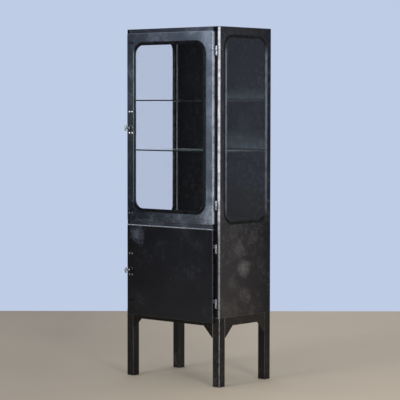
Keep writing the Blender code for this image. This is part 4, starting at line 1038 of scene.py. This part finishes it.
bright_nickel = nickel_plate("bright_nickel_screws", "#eceef2", "#b8babf", gloss=0.28)
dull_nickel = nickel_plate("dull_nickel_screws", "#75787d", "#3c3e42", gloss=0.30)
lock_steel = bright_steel("bare_steel_locks", "#77797d", "#414245")
screw_steel = blackened_steel("blackened_steel_screws", "#1a1b1f", "#2a2c30", wear=0.0, cloud=0.5, rub=0.0,
                              gloss=0.65, coat=0.0)

# One screw, and later one rose and one knob, is made at the upper lock and copied
lock_z = LOCK_HEIGHTS["upper_door"]
seat = DOOR_FACE - GRIP_GAP
shank_end = CASE_FRONT + SCREW_BITE
screw = turned("screw", 1, (LOCK_X, lock_z), [
    *[(r, seat - b) for r, b in reversed(rounded_end(SCREW_HEAD, SCREW_RIM, SCREW_DOME - SCREW_RIM, 7))],
    (SCREW_HEAD, seat), (SCREW_SHANK, seat), (SCREW_SHANK, shank_end), (0.0, shank_end),
], steps=32)
cut(screw, lock_block("driver_slot", SLOT_HALF_WIDTH, [DOOR_FACE - b for b in SLOT_RISE],
                      (lock_z - SLOT_HALF_LENGTH, lock_z + SLOT_HALF_LENGTH)))

for door, axis_z in LOCK_HEIGHTS.items():
    low_z, high_z = axis_z + CASE_ENDS[0], axis_z + CASE_ENDS[1]
    case = lock_block(door + "_case", CASE_HALF, (CASE_FRONT, CASE_BACK), (low_z, high_z))
    round_edges(case, 2, CASE_CORNER, 4, lambda e: centre_of(e).y > ROD_BACK)
    cut(case, lock_block("hollow", CASE_HALF - CASE_WALL, (CASE_FRONT + CASE_BASE, CASE_BACK - CASE_WALL),
                         (low_z - TOOL_REACH, high_z + TOOL_REACH)))
    bore(case, CASE_FRONT, axis_z, CASE_BACK - CASE_FRONT + TOOL_REACH)
    settle(case, lock_steel, "bright_steel", door, door + "_lock_case")
    high_guide, low_guide = GUIDES[door]
    for row, place_name in ((axis_z + SCREW_ROWS[0], "case_high"), (axis_z + SCREW_ROWS[1], "case_low"),
                            (high_guide, "guide_high"), (low_guide, "guide_low")):
        steel = bright_nickel if door == "upper_door" else dull_nickel
        if place_name.startswith("guide"):
            steel = upper_steel if door == "upper_door" and place_name == "guide_low" else screw_steel
        for half, shift in (("a", -SCREW_SPACING / 2), ("b", SCREW_SPACING / 2)):
            head = copy_of(screw, door + "_screw_" + place_name + "_" + half, (shift, 0.0, row - lock_z))
            settle(head, steel, "chrome", door, edge=0.0, smooth=35.0)
    for guide_z, place_name in ((high_guide, "upper"), (low_guide, "lower")):
        ends = (guide_z - GUIDE_HALF, guide_z + GUIDE_HALF)
        guide = lock_block(door + "_guide_" + place_name, CASE_HALF, (CASE_FRONT, CASE_FRONT + CASE_BASE), ends)
        cut(guide, lock_block("post", POST_HALF, (CASE_FRONT + POST_ROOT, ROD_BACK + POST_CAP), ends), 'UNION')
        cut(guide, lock_block("way", WAY_HALF, (ROD_FRONT - WAY_GAP, ROD_BACK + WAY_GAP),
                              (guide_z - TOOL_REACH, guide_z + TOOL_REACH)))
        settle(guide, lock_steel, "bright_steel", door, door + "_rod_guide_" + place_name)
    dress(lock_steel, door + "_rod_upper", door + "_rod_lower", door + "_spindle")
bpy.data.objects.remove(screw)


# ---- The roses and knobs ----
# A round rose of turned steel covers the hole in the door. The knob on the lock's spindle has a
# boss, a thin neck and a flat oval bow, upright when the door is locked, and is nickel plated.
ROSE = 0.016
ROSE_FRONT = -0.18235
ROSE_CHAMFER = 0.0002
ROSE_CROWN = ((0.0105, 0.0), (0.0118, 0.0002), (0.0135, 0.0007), (0.0150, 0.0015), (0.0158, 0.0022))
KNOB_FOOT = -0.18265
KNOB_TIP = -0.22405
KNOB_BOSS = 0.0065
KNOB_BORE = 0.0038
KNOB_SOCKET = 0.012
KNOB_SHOULDER = ((0.0, 0.0010), (0.0006, -0.0004), (0.0018, -0.0014))
KNOB_NECK = 0.0030
NECK_FILLET = (0.0008, 0.0006)
BOW_HEIGHT = 0.028
BOW_WIDTH = 0.015
BOW_RIM = 0.0045
BOW_THICKNESS = 0.0045
BOW_EDGE = 0.0014

knob_nickel = nickel_plate("nickel_plate_knobs", "#8d9096", "#4d4f53", polished=-0.207)
rose = turned("rose", 1, (LOCK_X, lock_z), [
    (SPINDLE_HOLE, seat), (SPINDLE_HOLE, ROSE_FRONT), *[(r, ROSE_FRONT + b) for r, b in ROSE_CROWN],
    (ROSE, seat - ROSE_CHAMFER), (ROSE - ROSE_CHAMFER, seat), (SPINDLE_HOLE, seat),
], steps=64)


def oval_plate(name, inset, half_thickness):
    """An upright oval plate across the X axis, in the middle of the knob's bow."""
    half_y, half_z = BOW_WIDTH / 2 - inset, BOW_HEIGHT / 2 - inset
    turns = [2 * math.pi * i / 48 for i in range(48)]
    plate = draw(name, [(LOCK_X - half_thickness, KNOB_TIP + BOW_WIDTH / 2 + half_y * math.cos(t),
                         lock_z + half_z * math.sin(t)) for t in turns])
    pull((2 * half_thickness, 0.0, 0.0))
    close_up()
    return plate


bow = oval_plate("bow", 0.0, BOW_THICKNESS / 2)
cut(bow, oval_plate("hole", BOW_RIM, BOW_THICKNESS))
modify(bow, 'BEVEL', width=BOW_EDGE, segments=4, limit_method='ANGLE', angle_limit=math.radians(60.0))
boss_end = KNOB_FOOT - KNOB_SOCKET
neck_start = boss_end - (KNOB_BOSS - KNOB_NECK)
neck_end = KNOB_TIP + BOW_WIDTH
knob = turned("knob", 1, (LOCK_X, lock_z), [
    (0.0, boss_end), (KNOB_BORE, boss_end), (KNOB_BORE, KNOB_FOOT), (KNOB_BOSS - CHAMFER, KNOB_FOOT),
    (KNOB_BOSS, KNOB_FOOT - CHAMFER), *[(KNOB_BOSS - r, boss_end + b) for r, b in KNOB_SHOULDER],
    (KNOB_NECK + NECK_FILLET[0], neck_start + NECK_FILLET[1]), (KNOB_NECK, neck_start - NECK_FILLET[1]),
    (KNOB_NECK, neck_end - BOW_RIM * 0.4), (KNOB_NECK * 0.6, neck_end - BOW_RIM * 0.6),
    (0.0, neck_end - BOW_RIM * 0.6),
], steps=48)
cut(knob, bow, 'UNION')
# The lower rose takes the aprons' darker steel, painted shade, where the upper rose takes the carcass steel
for door, handle, steel in (("upper_door", "upper_handle", carcass_steel),
                            ("lower_door", "lower_handle", shaded_apron_steel)):
    shift = (0.0, 0.0, LOCK_HEIGHTS[door] - lock_z)
    settle(copy_of(rose, door + "_turned_rose", shift), steel, "lacquered_steel", door, door + "_rose",
           edge=0.0, smooth=30.0)
    settle(copy_of(knob, door + "_oval_knob", shift), knob_nickel, "chrome", handle, door + "_knob", edge=0.0)
for part in (rose, knob):
    bpy.data.objects.remove(part)
